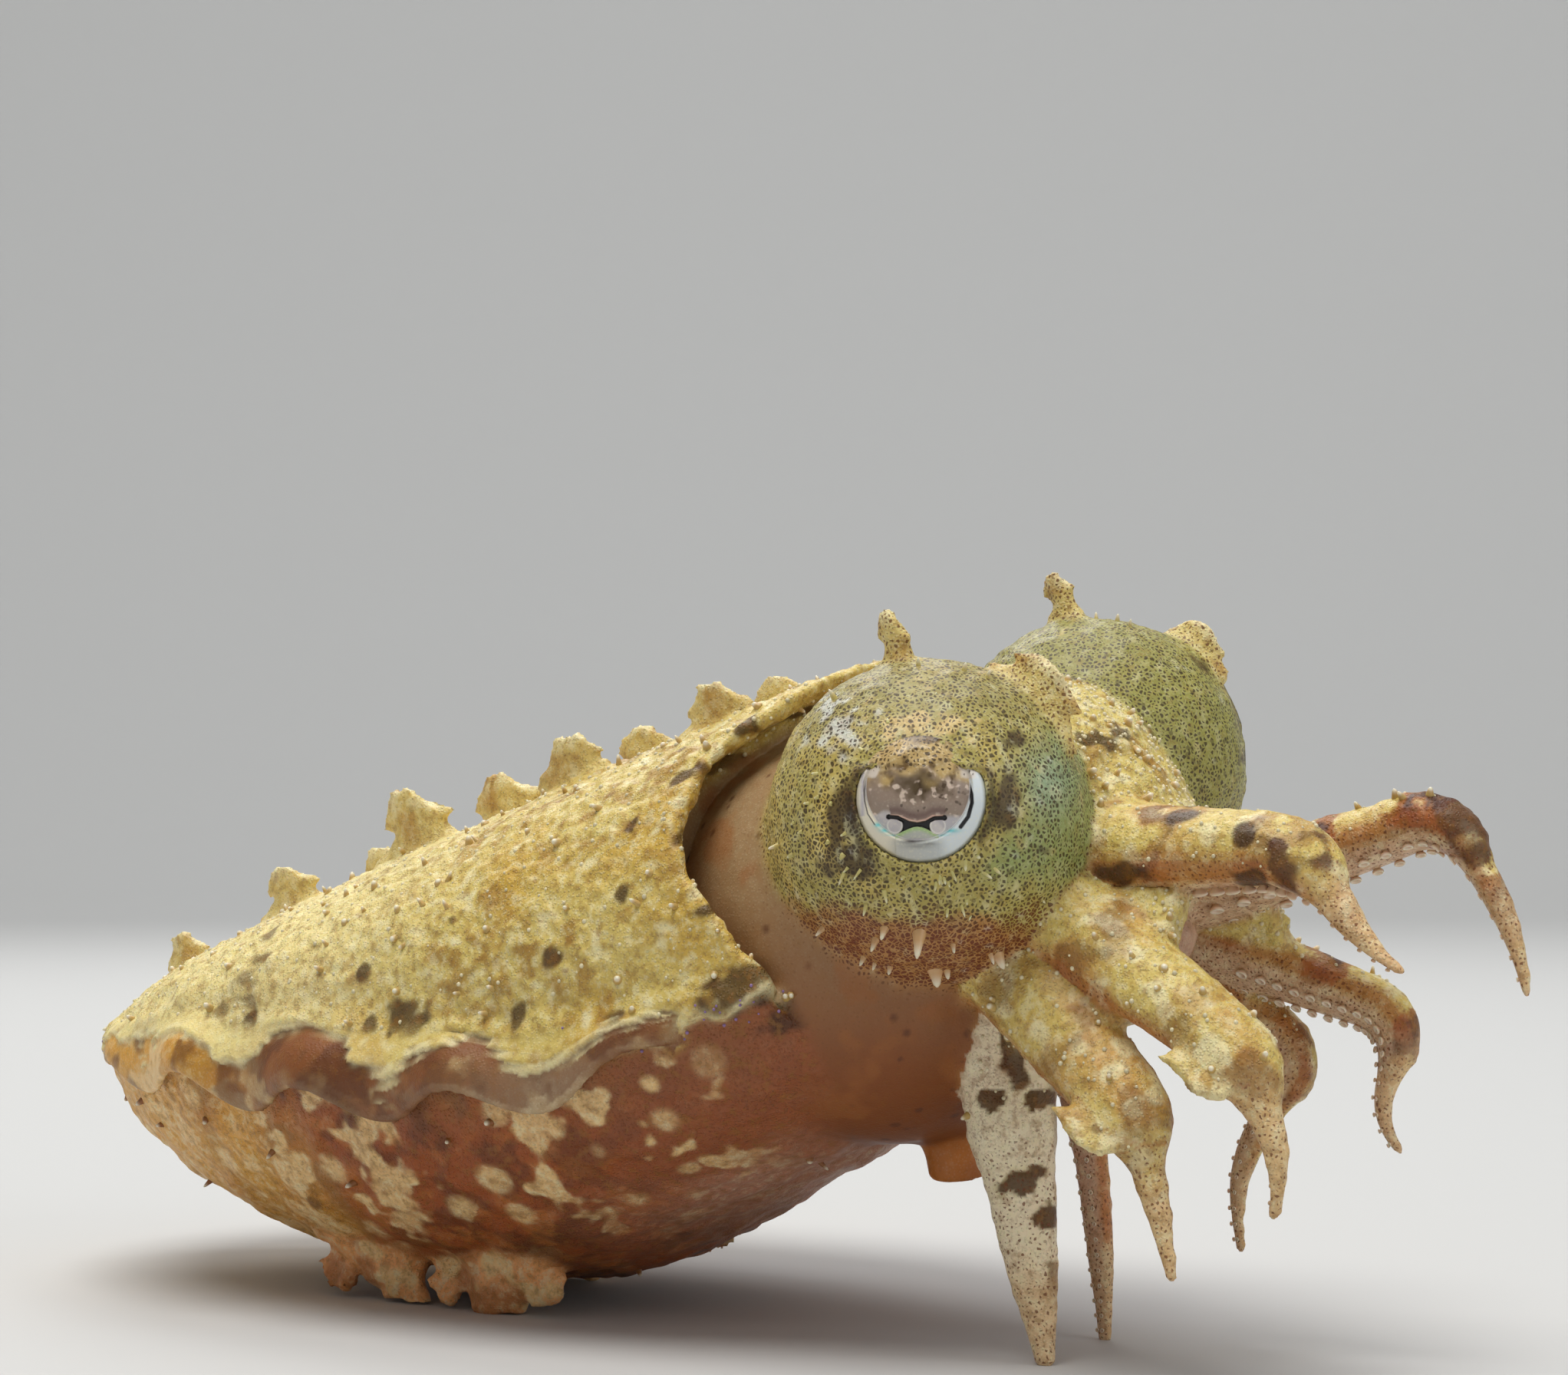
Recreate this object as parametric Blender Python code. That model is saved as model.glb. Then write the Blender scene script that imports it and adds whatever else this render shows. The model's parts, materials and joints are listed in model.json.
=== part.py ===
"""A young dwarf cuttlefish, life size, standing on its two lowest arms and the two flaps under its belly.

Sizes are in millimetres and become metres when a mesh is made. Forms of the body are set out upright, with
+X to the front, +Y to the animal's left and the floor at Z = 0. They are then rolled a little to the right
about the middle of the head, as the animal leans. Arms start at the rolled head and run in the floor's frame.
"""

import math

import bmesh
import bpy
import numpy as np
from mathutils import Matrix, Vector

MM = 0.001
GAP = 0.3  # between nodes that meet
ROLL = math.radians(10)  # right side down
HEAD_MID = (-0.1, 0.0, 14.2)

# Mantle: the profile is read along X, from the mouth of the mantle to the rounded rear.
MANTLE_REAR = -31.9
MANTLE_WIDEST = -13.0
MANTLE_HALF_WIDTH = 9.3
RIM_BACK = -4.3
RIM_SHOULDER = -5.85
RIM_SIDE = -2.6
RIM_BELLY = -1.4
RIM_RAMP = 0.42  # how far up the side the rim has reached the shoulder, as a share of a quarter turn's sine
BACK_HEIGHT = 17.25  # over the shoulder of the rim
BACK_FALL = 0.335  # per millimetre towards the rear
BACK_SQUARENESS = 0.78  # 1 is an ellipse, less is flatter on top
BELLY_SQUARENESS = 0.94
BELLY_CLEAR = 0.4
BELLY_FRONT = -12.5
BELLY_BACK = -21.0
BELLY_RISE_FRONT = 0.54
BELLY_RISE_BACK = 0.27
FIN_LINE_HEIGHT = 8.9
FIN_LINE_FRONT = -9.0
FIN_LINE_REAR = -24.0
FIN_LINE_RISE = 0.24
FIN_LINE_FALL = 0.26
MANTLE_STATIONS = 18
MANTLE_SIDES = 28
WIDTH_POWER = 2.7  # the higher, the blunter the rear end from above
HEIGHT_POWER = 7  # and from the side
BACK_ARCH = 0.15

# Neck: the smooth collar inside the mantle's mouth, a smaller section of the same form.
NECK_MID = (-3.4, 0.0, 11.4)
NECK_HALF_LENGTH = 5.0
NECK_SHARE = 0.86  # of the mantle's section
NECK_CLEAR = 0.35  # the groove between the rim and the collar
NECK_ROUND = 0.6  # the lower, the blunter its ends
NECK_STATIONS = 10
NECK_SIDES = 20

# Head: an eye dome on each side, a core between them, and a face that carries the ring of arms.
DOME_SIDE = 4.3
DOME_RADII = (4.05, 3.95, 4.05)
CORE_MID = (0.3, 0, 13.6)
CORE_RADII = (3.6, 4.2, 3.5)
FACE_START = (0.0, 0.0, 13.4)
FACE_END = (3.4, 0.0, 10.3)
FACE_PROFILE = ((-0.25, 2.6), (0.1, 3.9), (0.45, 3.8), (0.8, 3.3), (1.0, 2.9))  # place, radius
FACE_DEPTH_SHARE = 0.95
MOUTH_RADIUS = 1.25
LIPS_PROFILE = ((-0.6, 0.9), (0.2, 1.0), (0.75, 0.85), (0.95, 0.5))  # rise, share of radius
LIPS_DIMPLE = (0.5, 0.25)

# Eyes look outwards, forwards and a little up. The ball stands a little proud of the dome.
EYE_YAW = math.radians(31)
EYE_PITCH = math.radians(11)
EYE_RADIUS = 2.2
EYE_DEPTH = 1.8
LID_LIFT = 2.64  # from the ball's centre to the middle of the lid
LID_REACH = math.radians(51)  # off the eye's axis, at the corners
LID_NARROW = 0.84  # reach over and under the eye, as a share of that at the corners
LID_BREADTH = 0.75
LID_THICK = 0.32

FUNNEL_LINE = ((-2.0, -0.4, 8.4), (-2.1, -1.0, 6.2), (-2.1, -1.3, 4.3))
FUNNEL_RADII = (1.45, 1.1, 0.8)
FUNNEL_BORE = 0.35

FIN_FRONT = -5.4
FIN_REAR = -28.8
FIN_END_REACH = 0.3
FIN_REACH = 1.2  # more than that at the ends
FIN_ROOT_THICK = 0.7
FIN_EDGE_THICK = 0.5
FIN_DROOP = 24  # degrees, at the edge
FIN_WAVES = 4.5
FIN_WAVE = 0.3
FIN_STATIONS = 34
FIN_ROWS = 3

# A flap is a thin plate with three scallops: share of its height, share of its width.
FLAP_PROFILE = ((0, 1.15), (0.3, 1.0), (0.8, 1.0), (1.0, 0.66))
FLAP_WAIST = 0.55  # the height at which it is narrowest
FLAP_THICK = 0.55
FLAP_SINK = 0.5
FLAP_SCALLOPS = 3
FLAP_SCALLOP = 0.13
FLAP_SIDES = 12

# Flaps that stand in two rows on the back: place along X on the right and on the left, width, height.
BACK_FLAP_ROW = 2.7
BACK_FLAPS = (
    (-7.4, -9.2, 1.8, 1.1),
    (-12.4, -14.0, 2.0, 1.3),
    (-18.4, -19.6, 2.3, 1.8),
    (-23.6, -24.6, 1.9, 1.3),
    (-28.3, -28.8, 1.6, 1.1),
)

# The two flaps under the belly that the animal stands on, each with a front and a rear lobe: place along X
# and Y, and how far the lobe leans to the front per millimetre of its height.
FOOT_LOBES = ((-14.5, -3.6, 0.1), (-17.8, -3.6, -0.9), (-16.9, 2.8, 0.1), (-19.8, 2.8, -0.7))
FOOT_PROFILE = ((-0.6, 0.9), (0.3, 1.0), (1.1, 1.6), (2.0, 2.4), (3.2, 3.2))  # height, share of size
FOOT_LENGTH = 1.8
FOOT_WIDTH = 0.9
FOOT_LEAN_IN = 0.04

# Flaps over the eyes: forward, to the left and up on the dome, then width, height and lean forward.
BROW_FLAPS = {
    -1: ((-0.12, -0.03, 0.98, 0.85, 1.4, 0.15), (0.66, 0.26, 0.66, 2.1, 1.2, 0.5)),
    1: ((-0.18, 0.05, 0.97, 0.85, 1.4, 0.1), (0.55, 0.45, 0.66, 1.7, 1.0, 0.3)),
}

# Arms: headings and pitches are in degrees in the floor's frame, lengths in millimetres. An arm belongs to
# the head as far as start, keeps to pitch as far as knee, bends there to knee_pitch and ends at tip_pitch.
# The widths are those at the root, at the knee, just past it and at the tip. An arm with a sag hangs in the
# middle of its upper length, and oral is the turn of its suckers from the underside towards the other arms.
ARMS = {
    "r1": dict(root=(2.6, -1.3, 12.7), length=10.6, start=4.2, knee=6.6, widths=(3.1, 2.1, 1.1, 0.5),
               yaw=-9, pitch=0, sag=0, knee_pitch=-51, tip_pitch=-30, oral=15),
    "l1": dict(root=(2.6, 1.6, 11.4), length=13.3, start=4.2, knee=8.5, widths=(2.7, 1.7, 1.05, 0.5),
               yaw=4, pitch=15, sag=5, knee_pitch=-60, tip_pitch=-78, oral=15),
    "r2": dict(root=(3.0, -3.1, 11.2), length=10.3, start=3.9, knee=6.3, widths=(2.5, 1.9, 0.95, 0.5),
               yaw=-8, pitch=-31, sag=0, knee_pitch=-66, tip_pitch=-104, oral=35),
    "l2": dict(root=(2.9, 3.1, 10.6), length=9.8, start=3.9, knee=6.3, widths=(2.3, 1.55, 0.9, 0.5),
               yaw=9, pitch=-19, sag=0, knee_pitch=-108, tip_pitch=-50, oral=35),
    "r3": dict(root=(1.9, -3.5, 9.7), length=9.1, start=3.5, knee=5.0, widths=(2.5, 2.0, 0.9, 0.45),
               yaw=-12, pitch=-39, sag=0, knee_pitch=-72, tip_pitch=-77, oral=50),
    "l3": dict(root=(1.7, 3.4, 9.8), length=10.2, start=3.3, knee=4.7, widths=(2.3, 1.7, 0.95, 0.45),
               yaw=14, pitch=-28, sag=0, knee_pitch=-122, tip_pitch=-82, oral=50),
    "r4": dict(root=(1.1, -2.5, 9.7), length=9.95, start=2.2, knee=3.6, widths=(2.6, 2.3, 2.0, 0.75),
               yaw=-6, pitch=-88, sag=0, knee_pitch=-80, tip_pitch=-80, oral=65),
    "l4": dict(root=(0.5, 1.6, 9.7), length=9.9, start=2.2, knee=3.6, widths=(2.0, 1.35, 1.0, 0.6),
               yaw=10, pitch=-83, sag=0, knee_pitch=-83, tip_pitch=-88, oral=65),
}
WEBS = (("r1", "l1", 2.4), ("r1", "r2", 3.6), ("r2", "r3", 3.3), ("r3", "r4", 2.0),
        ("l1", "l2", 3.6), ("l2", "l3", 3.2), ("l3", "l4", 2.0))  # the skin between arms, as far as this
WEB_THICK = 0.7
WEB_STATIONS = 4
WEB_SIDES = 8
KNEE_FLAPS = {"r2": (2.0, 0.9), "l2": (1.6, 0.7), "r3": (2.3, 1.0), "l3": (1.7, 0.8)}  # width, height
ARM_DEPTH_SHARE = 0.85  # thickness over width
ARM_SIDES = 10
STATION_STEP = 0.85
ARM_SPLIT = 0.6  # past the knee, where the upper length ends
SUCKER_PAIRS = 9
SUCKER_FIRST = 2.0
SUCKER_CROWDING = 0.9  # below 1 they stand closer together towards the tip
SUCKER_END_CLEAR = 0.35
SUCKER_SHARE = 0.17  # radius over the arm's width
SUCKER_SMALLEST = 0.15
SUCKER_ROW = 0.22  # off the middle line, as a share of the arm's width
SUCKER_SINK = 0.25
SUCKER_RISE = 0.9  # over its radius
SUCKER_MOUTH = 0.55  # and the opening's
SUCKER_DIMPLE = 0.45


def clear_scene():
    for obj in list(bpy.data.objects):
        bpy.data.objects.remove(obj)


def material(name, colour, roughness):
    made = bpy.data.materials.new(name)
    made.use_nodes = True
    shader = made.node_tree.nodes["Principled BSDF"]
    shader.inputs["Base Color"].default_value = (*colour, 1)
    shader.inputs["Roughness"].default_value = roughness
    shader.inputs["Metallic"].default_value = 0
    return made


def smooth(t):
    t = np.clip(t, 0, 1)
    return t * t * (3 - 2 * t)


def posed(points):
    """Points of the upright body, rolled to the right about the middle of the head."""
    rolled = np.array(Matrix.Rotation(ROLL, 3, "X"))
    return (np.asarray(points, float) - HEAD_MID) @ rolled.T + HEAD_MID


def make(name, points, faces):
    """An object from points in millimetres, with triangles or larger faces that point out."""
    mesh = bpy.data.meshes.new(name)
    mesh.from_pydata((np.asarray(points, float) * MM).tolist(), [], faces)
    shape = bmesh.new()
    shape.from_mesh(mesh)
    bmesh.ops.recalc_face_normals(shape, faces=shape.faces)
    shape.to_mesh(mesh)
    shape.free()
    obj = bpy.data.objects.new(name, mesh)
    bpy.context.scene.collection.objects.link(obj)
    return obj


def skin_rings(rings):
    """(points, faces) of a closed surface through rings of equal size, each end closed by a fan."""
    count, sides = len(rings), len(rings[0])
    points = [p for ring in rings for p in ring]
    points += [np.mean(rings[0], axis=0), np.mean(rings[-1], axis=0)]
    faces = []
    for i in range(count - 1):
        for k in range(sides):
            a, b = i * sides + k, i * sides + (k + 1) % sides
            faces += [(a, b, b + sides), (a, b + sides, a + sides)]
    first, last = count * sides, count * sides + 1
    for k in range(sides):
        faces.append((first, (k + 1) % sides, k))
        faces.append((last, (count - 1) * sides + k, (count - 1) * sides + (k + 1) % sides))
    return points, faces


def ellipsoid(name, middle, radii, segments, rings):
    """An ellipsoid with its poles on the X axis, rolled with the body."""
    turns = [math.pi * (i + 0.5) / rings for i in range(rings)]
    rows = []
    for turn in turns:
        angles = np.arange(segments) * 2 * math.pi / segments
        rows.append(np.column_stack([
            np.full(segments, math.cos(turn) * radii[0]),
            math.sin(turn) * np.cos(angles) * radii[1],
            math.sin(turn) * np.sin(angles) * radii[2],
        ]) + middle)
    points, faces = skin_rings(rows)
    points[-2] = np.add(middle, (radii[0], 0, 0))
    points[-1] = np.subtract(middle, (radii[0], 0, 0))
    return make(name, posed(points), faces)


def tube(name, line, sides_axis, tops_axis, widths, depths, sides=ARM_SIDES):
    """A closed tube along line, with its half widths along sides_axis and its half depths along tops_axis."""
    angles = np.arange(sides) * 2 * math.pi / sides
    rings = [
        point + np.outer(np.cos(angles) * w, a) + np.outer(np.sin(angles) * d, b)
        for point, a, b, w, d in zip(line, sides_axis, tops_axis, widths, depths)
    ]
    return make(name, *skin_rings(rings))


def apply_modifiers(obj):
    """Bakes the object's modifiers into its own mesh."""
    graph = bpy.context.evaluated_depsgraph_get()
    mesh = bpy.data.meshes.new_from_object(obj.evaluated_get(graph))
    obj.modifiers.clear()
    obj.data = mesh


def keep_largest(obj):
    """Leaves only the closed surface of the greatest volume in the object's mesh."""
    shape = bmesh.new()
    shape.from_mesh(obj.data)
    left, bodies = set(shape.verts), []
    while left:
        found, edge = set(), [left.pop()]
        while edge:
            vert = edge.pop()
            found.add(vert)
            near = {e.other_vert(vert) for e in vert.link_edges} & left
            left -= near
            edge += near
        bodies.append(found)

    def volume(body):
        faces = {f for v in body for f in v.link_faces}
        return abs(sum(f.calc_center_median().dot(f.normal) * f.calc_area() for f in faces))

    bodies.sort(key=volume, reverse=True)
    for body in bodies[1:]:
        bmesh.ops.delete(shape, geom=list(body), context="VERTS")
    shape.to_mesh(obj.data)
    shape.free()


def combine(obj, others, operation, solver):
    """One Boolean of obj with a collection of closed meshes, applied. The other objects are then removed."""
    group = bpy.data.collections.new("pieces")
    bpy.context.scene.collection.children.link(group)
    for other in others:
        bpy.context.scene.collection.objects.unlink(other)
        group.objects.link(other)
    boolean = obj.modifiers.new("combine", "BOOLEAN")
    boolean.operation = operation
    boolean.operand_type = "COLLECTION"
    boolean.collection = group
    boolean.solver = solver
    apply_modifiers(obj)
    for other in others:
        bpy.data.objects.remove(other)
    bpy.data.collections.remove(group)
    keep_largest(obj)
    return obj


def fuse(obj, others, solver="EXACT"):
    return combine(obj, others, "UNION", solver)


def carve(obj, others, solver="EXACT"):
    return combine(obj, others, "DIFFERENCE", solver)


def finish(obj, look):
    obj.data.materials.clear()
    obj.data.materials.append(look)
    obj.data.shade_smooth()
    obj.data.set_sharp_from_angle(angle=math.radians(50))
    return obj


# The mantle's own measures

def soft_ramp(distance):
    return (distance + math.hypot(distance, 1.6)) / 2


def end_share(x, power):
    """1 along the mantle, falling to 0 at its rear end."""
    if x > MANTLE_WIDEST:
        return 1.0
    along = (MANTLE_WIDEST - x) / (MANTLE_WIDEST - MANTLE_REAR)
    return math.sqrt(max(0.0, 1 - along ** power))


def half_width(x):
    if x > MANTLE_WIDEST:
        return MANTLE_HALF_WIDTH * (1 - ((x - MANTLE_WIDEST) / 26) ** 2)
    return MANTLE_HALF_WIDTH * end_share(x, WIDTH_POWER)


def fin_line(x):
    return (FIN_LINE_HEIGHT + FIN_LINE_RISE * soft_ramp(x - FIN_LINE_FRONT)
            - FIN_LINE_FALL * soft_ramp(FIN_LINE_REAR - x))


def back_height(x):
    arch = BACK_ARCH * math.sin(math.pi * min(1, max(0, (x - RIM_SHOULDER) / (MANTLE_REAR - RIM_SHOULDER))))
    top = BACK_HEIGHT + BACK_FALL * (x - RIM_SHOULDER) + arch
    return fin_line(x) + (top - fin_line(x)) * end_share(x, HEIGHT_POWER)


def belly_height(x):
    low = (BELLY_CLEAR + BELLY_RISE_FRONT * soft_ramp(x - BELLY_FRONT)
           + BELLY_RISE_BACK * soft_ramp(BELLY_BACK - x))
    return fin_line(x) - (fin_line(x) - low) * end_share(x, HEIGHT_POWER)


def mantle_point(x, angle, grow=0.0):
    """A point of the mantle's surface: angle 0 is the left fin line, a quarter turn is the back."""
    across, up = math.cos(angle), math.sin(angle)
    height = (back_height(x) if up > 0 else belly_height(x)) - fin_line(x)
    power = BACK_SQUARENESS if up > 0 else BELLY_SQUARENESS
    y = (half_width(x) + grow) * math.copysign(abs(across) ** power, across)
    z = (abs(height) + grow) * math.copysign(abs(up) ** power, up)
    return np.array((x, y, fin_line(x) + z))


def rim_x(angle):
    """How far forward the mantle's edge reaches at this angle round the body."""
    up = math.sin(angle)
    if up < 0:
        return RIM_SIDE + (RIM_BELLY - RIM_SIDE) * up ** 2
    shoulder = RIM_SIDE + (RIM_SHOULDER - RIM_SIDE) * float(smooth(up / RIM_RAMP))
    return shoulder + (RIM_BACK - RIM_SHOULDER) * float(smooth((up - 0.8) / 0.2))


def back_normal(x, angle):
    """The outward direction on the mantle, from two small steps over its surface."""
    step = 0.05
    along = mantle_point(x + step, angle) - mantle_point(x - step, angle)
    around = mantle_point(x, angle + step) - mantle_point(x, angle - step)
    normal = np.cross(along, around)
    normal /= np.linalg.norm(normal)
    outward = mantle_point(x, angle) - (x, 0, fin_line(x))
    return normal * math.copysign(1, normal @ outward)


def flap(root, up, across, width, height, waist=0.85, pose=True):
    """A thin, scalloped flap that stands on root along up and is broad along across, with its root sunk."""
    up, across = np.array(up, float), np.array(across, float)
    up /= np.linalg.norm(up)
    across -= up * (across @ up)
    across /= np.linalg.norm(across)
    facing = np.cross(up, across)
    angles = np.arange(FLAP_SIDES) * 2 * math.pi / FLAP_SIDES
    side, through = np.cos(angles), np.sin(angles)
    scallops = FLAP_SCALLOP * np.cos(FLAP_SCALLOPS * math.pi * side)
    rings = []
    for share, breadth in sorted((*FLAP_PROFILE, (FLAP_WAIST, waist))):
        rise = -FLAP_SINK + (height + FLAP_SINK) * share * (1 + share * scallops)
        half = max(FLAP_THICK, width * breadth) / 2
        rings.append(root + np.outer(rise, up) + np.outer(side * half, across)
                     + np.outer(through * FLAP_THICK / 2, facing))
    return make("flap", *(posed_rings(rings) if pose else skin_rings(rings)))


def posed_rings(rings):
    points, faces = skin_rings(rings)
    return posed(points), faces


def mantle_body():
    """The closed outer form, its front end shut by a cap that the collar's cut then opens."""
    angles = np.arange(MANTLE_SIDES) * 2 * math.pi / MANTLE_SIDES
    rings = []
    for i in range(MANTLE_STATIONS):
        share = i / (MANTLE_STATIONS - 1)
        depth = math.sin(share * math.pi / 2)  # closer together at the rear
        ring = []
        for angle in angles:
            front = rim_x(angle)
            ring.append(mantle_point(front + (MANTLE_REAR + 0.15 - front) * depth, angle))
        rings.append(ring)
    points, faces = skin_rings(rings)
    return make("mantle", posed(points), faces)


def back_flaps():
    """The two rows of flaps on the back."""
    made = []
    for right, left, width, height in BACK_FLAPS:
        for x, side in ((right, -1), (left, 1)):
            off = min(BACK_FLAP_ROW, half_width(x) * 0.5)
            angle = math.acos(side * (off / half_width(x)) ** (1 / BACK_SQUARENESS))
            up = back_normal(x, angle) + (0.1, 0, 0.3)
            made.append(flap(mantle_point(x, angle), up, (1, 0, 0), width, height))
    return made


def foot_flaps():
    """The lobed flaps that the animal stands on, broad where they leave the belly."""
    made = []
    for x, y, lean in FOOT_LOBES:
        line = [np.array((x + lean * max(0, h), y * (1 - FOOT_LEAN_IN * h), h)) for h, _ in FOOT_PROFILE]
        widths = [FOOT_LENGTH / 2 * share for _, share in FOOT_PROFILE]
        depths = [FOOT_WIDTH / 2 * share for _, share in FOOT_PROFILE]
        count = len(FOOT_PROFILE)
        made.append(tube("foot", line, [(1, 0, 0)] * count, [(0, 1, 0)] * count, widths, depths, FLAP_SIDES))
    return made


def floor_cut():
    """A block under the floor, which leaves small flats where the animal stands."""
    low, high = (-40, -20, -6), (30, 20, 0)
    corners = [(x, y, z) for x in (low[0], high[0]) for y in (low[1], high[1]) for z in (low[2], high[2])]
    faces = [(0, 1, 3, 2), (4, 6, 7, 5), (0, 4, 5, 1), (2, 3, 7, 6), (0, 2, 6, 4), (1, 5, 7, 3)]
    return make("floor", corners, faces)


def neck_shape(grow=0.0):
    middle = np.array(NECK_MID)
    angles = np.arange(NECK_SIDES) * 2 * math.pi / NECK_SIDES
    outline = [mantle_point(RIM_SHOULDER, angle)[1:] - middle[1:] for angle in angles]
    rings = []
    for turn in np.linspace(-1.45, 1.45, NECK_STATIONS):
        x = middle[0] + (NECK_HALF_LENGTH + grow) * math.sin(turn)
        size = NECK_SHARE * math.cos(turn) ** NECK_ROUND
        rings.append([(x, *(middle[1:] + out * (size + grow / np.linalg.norm(out)))) for out in outline])
    return make("neck", *posed_rings(rings))


def eye_axis(side):
    level = math.cos(EYE_PITCH)
    return np.array((math.sin(EYE_YAW) * level, side * math.cos(EYE_YAW) * level, math.sin(EYE_PITCH)))


def dome_middle(side):
    return np.array((HEAD_MID[0], side * DOME_SIDE, HEAD_MID[2]))


def eye_middle(side):
    return dome_middle(side) + eye_axis(side) * EYE_DEPTH


def eye_ball(side, grow=0.0):
    return ellipsoid("eye", eye_middle(side), [EYE_RADIUS + grow] * 3, 18, 10)


def lid(side, start, end):
    """A rolled edge of skin along part of the eye's rim, from start to end in degrees, 90 being up."""
    axis = eye_axis(side)
    fore = np.cross((0, 0, 1.0), axis)
    fore /= np.linalg.norm(fore)
    up = np.cross(axis, fore)
    angles = np.arange(7) * 2 * math.pi / 7
    rings = []
    count = 9
    for i in range(count):
        share = i / (count - 1)
        turn = math.radians(start + (end - start) * share)
        out = fore * math.cos(turn) + up * math.sin(turn)
        reach = LID_REACH * (1 + (LID_NARROW - 1) * math.sin(turn) ** 2)
        away = axis * math.cos(reach) + out * math.sin(reach)
        over = out * math.cos(reach) - axis * math.sin(reach)
        size = 0.5 + 0.5 * math.sin(math.pi * share)
        rings.append(eye_middle(side) + away * LID_LIFT + np.outer(np.cos(angles) * size * LID_BREADTH, over)
                     + np.outer(np.sin(angles) * size * LID_THICK, away))
    return make("lid", *posed_rings(rings))


def brow_flaps(side):
    made = []
    for forward, left, upward, width, height, lean in BROW_FLAPS[side]:
        normal = np.array((forward, left, upward))
        root = dome_middle(side) + normal * DOME_RADII
        made.append(flap(root, normal + (lean, 0, 0.5), (1, 0, -forward), width, height, waist=0.62))
    return made


def face_axes():
    """The directions from between the eyes to the mouth, to the animal's left and to the top of the face."""
    ahead = np.subtract(FACE_END, FACE_START)
    ahead /= np.linalg.norm(ahead)
    side = np.array((0, 1.0, 0))
    return ahead, side, np.cross(ahead, side)


def face_shape(grow=0.0):
    """The face, tapering from between the eyes down to the ring of arms."""
    ahead, side, top = face_axes()
    angles = np.arange(18) * 2 * math.pi / 18
    rings = []
    for share, radius in FACE_PROFILE:
        middle = np.array(FACE_START) + np.subtract(FACE_END, FACE_START) * share
        if share == 1:
            middle = middle + ahead * grow
        rings.append(middle + np.outer(np.cos(angles) * (radius + grow), side)
                     + np.outer(np.sin(angles) * (radius * FACE_DEPTH_SHARE + grow), top))
    return make("face", *posed_rings(rings))


# Arms

def arm_pitch(arm, s):
    """The arm's pitch in radians at distance s along it."""
    bend = smooth((s - arm["knee"] + 1.1) / 2.2)
    curl = smooth((s - arm["knee"] - 1.4) / (arm["length"] - arm["knee"] - 1.4))
    upper = arm["pitch"] + arm["sag"] * (2 * min(1, max(0, s / arm["knee"])) - 1)
    pitch = upper + (arm["knee_pitch"] - upper) * bend
    return math.radians(pitch + (arm["tip_pitch"] - arm["knee_pitch"]) * curl)


def arm_width(arm, s):
    at_root, at_knee, past_knee, at_tip = arm["widths"]
    if s < arm["knee"]:
        return at_root + (at_knee - at_root) * max(0, s) / arm["knee"]
    narrow = at_knee + (past_knee - at_knee) * float(smooth((s - arm["knee"]) / 1.6))
    return narrow + (at_tip - past_knee) * max(0, s - arm["knee"] - 0.8) / (arm["length"] - arm["knee"] - 0.8)


def arm_frames(arm, start, end):
    """Points along the arm from start to end, with the directions to its side and to its suckers."""
    fine = 0.05
    yaw = math.radians(arm["yaw"])
    point = np.array(arm["root"], float)
    track = []
    for i in range(int(arm["length"] / fine) + 1):
        pitch = arm_pitch(arm, i * fine)
        ahead = np.array((math.cos(pitch) * math.cos(yaw), math.cos(pitch) * math.sin(yaw), math.sin(pitch)))
        track.append((point.copy(), ahead))
        point = point + ahead * fine
    count = max(2, round((end - start) / STATION_STEP) + 1)
    side = np.array((-math.sin(yaw), math.cos(yaw), 0))
    inward = -math.copysign(1, arm["root"][1])
    turn = math.radians(arm["oral"])
    frames = []
    for k in range(count):
        s = start + (end - start) * k / (count - 1)
        if s < 0:
            point, ahead = track[0][0] + track[0][1] * s, track[0][1]
        else:
            point, ahead = track[min(len(track) - 1, round(s / fine))]
        under = -np.cross(ahead, side)
        oral = under * math.cos(turn) + side * inward * math.sin(turn)
        frames.append((s, point, np.cross(ahead, oral), oral))
    return frames


def arm_tube(name, arm, start, end, grow=0.0, round_end=False):
    frames = arm_frames(arm, start, end)
    widths = [arm_width(arm, s) / 2 + grow for s, _, _, _ in frames]
    depths = [arm_width(arm, s) / 2 * ARM_DEPTH_SHARE + grow for s, _, _, _ in frames]
    if round_end:
        widths[-1] *= 0.6
        depths[-1] *= 0.6
    line = [f[1] for f in frames]
    return tube(name, line, [f[2] for f in frames], [f[3] for f in frames], widths, depths)


def sucker(point, normal, side, radius):
    """A short cup with a dimple, its root sunk in the arm."""
    ahead = np.cross(normal, side)
    angles = np.arange(6) * 2 * math.pi / 6
    around = np.outer(np.cos(angles), side) + np.outer(np.sin(angles), ahead)
    top = point + normal * radius * SUCKER_RISE
    rings = [point - normal * SUCKER_SINK + around * radius * 0.8, top + around * radius,
             top + around * radius * SUCKER_MOUTH]
    points, faces = skin_rings(rings)
    points[-1] = point + normal * radius * SUCKER_DIMPLE
    return make("sucker", points, faces)


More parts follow.
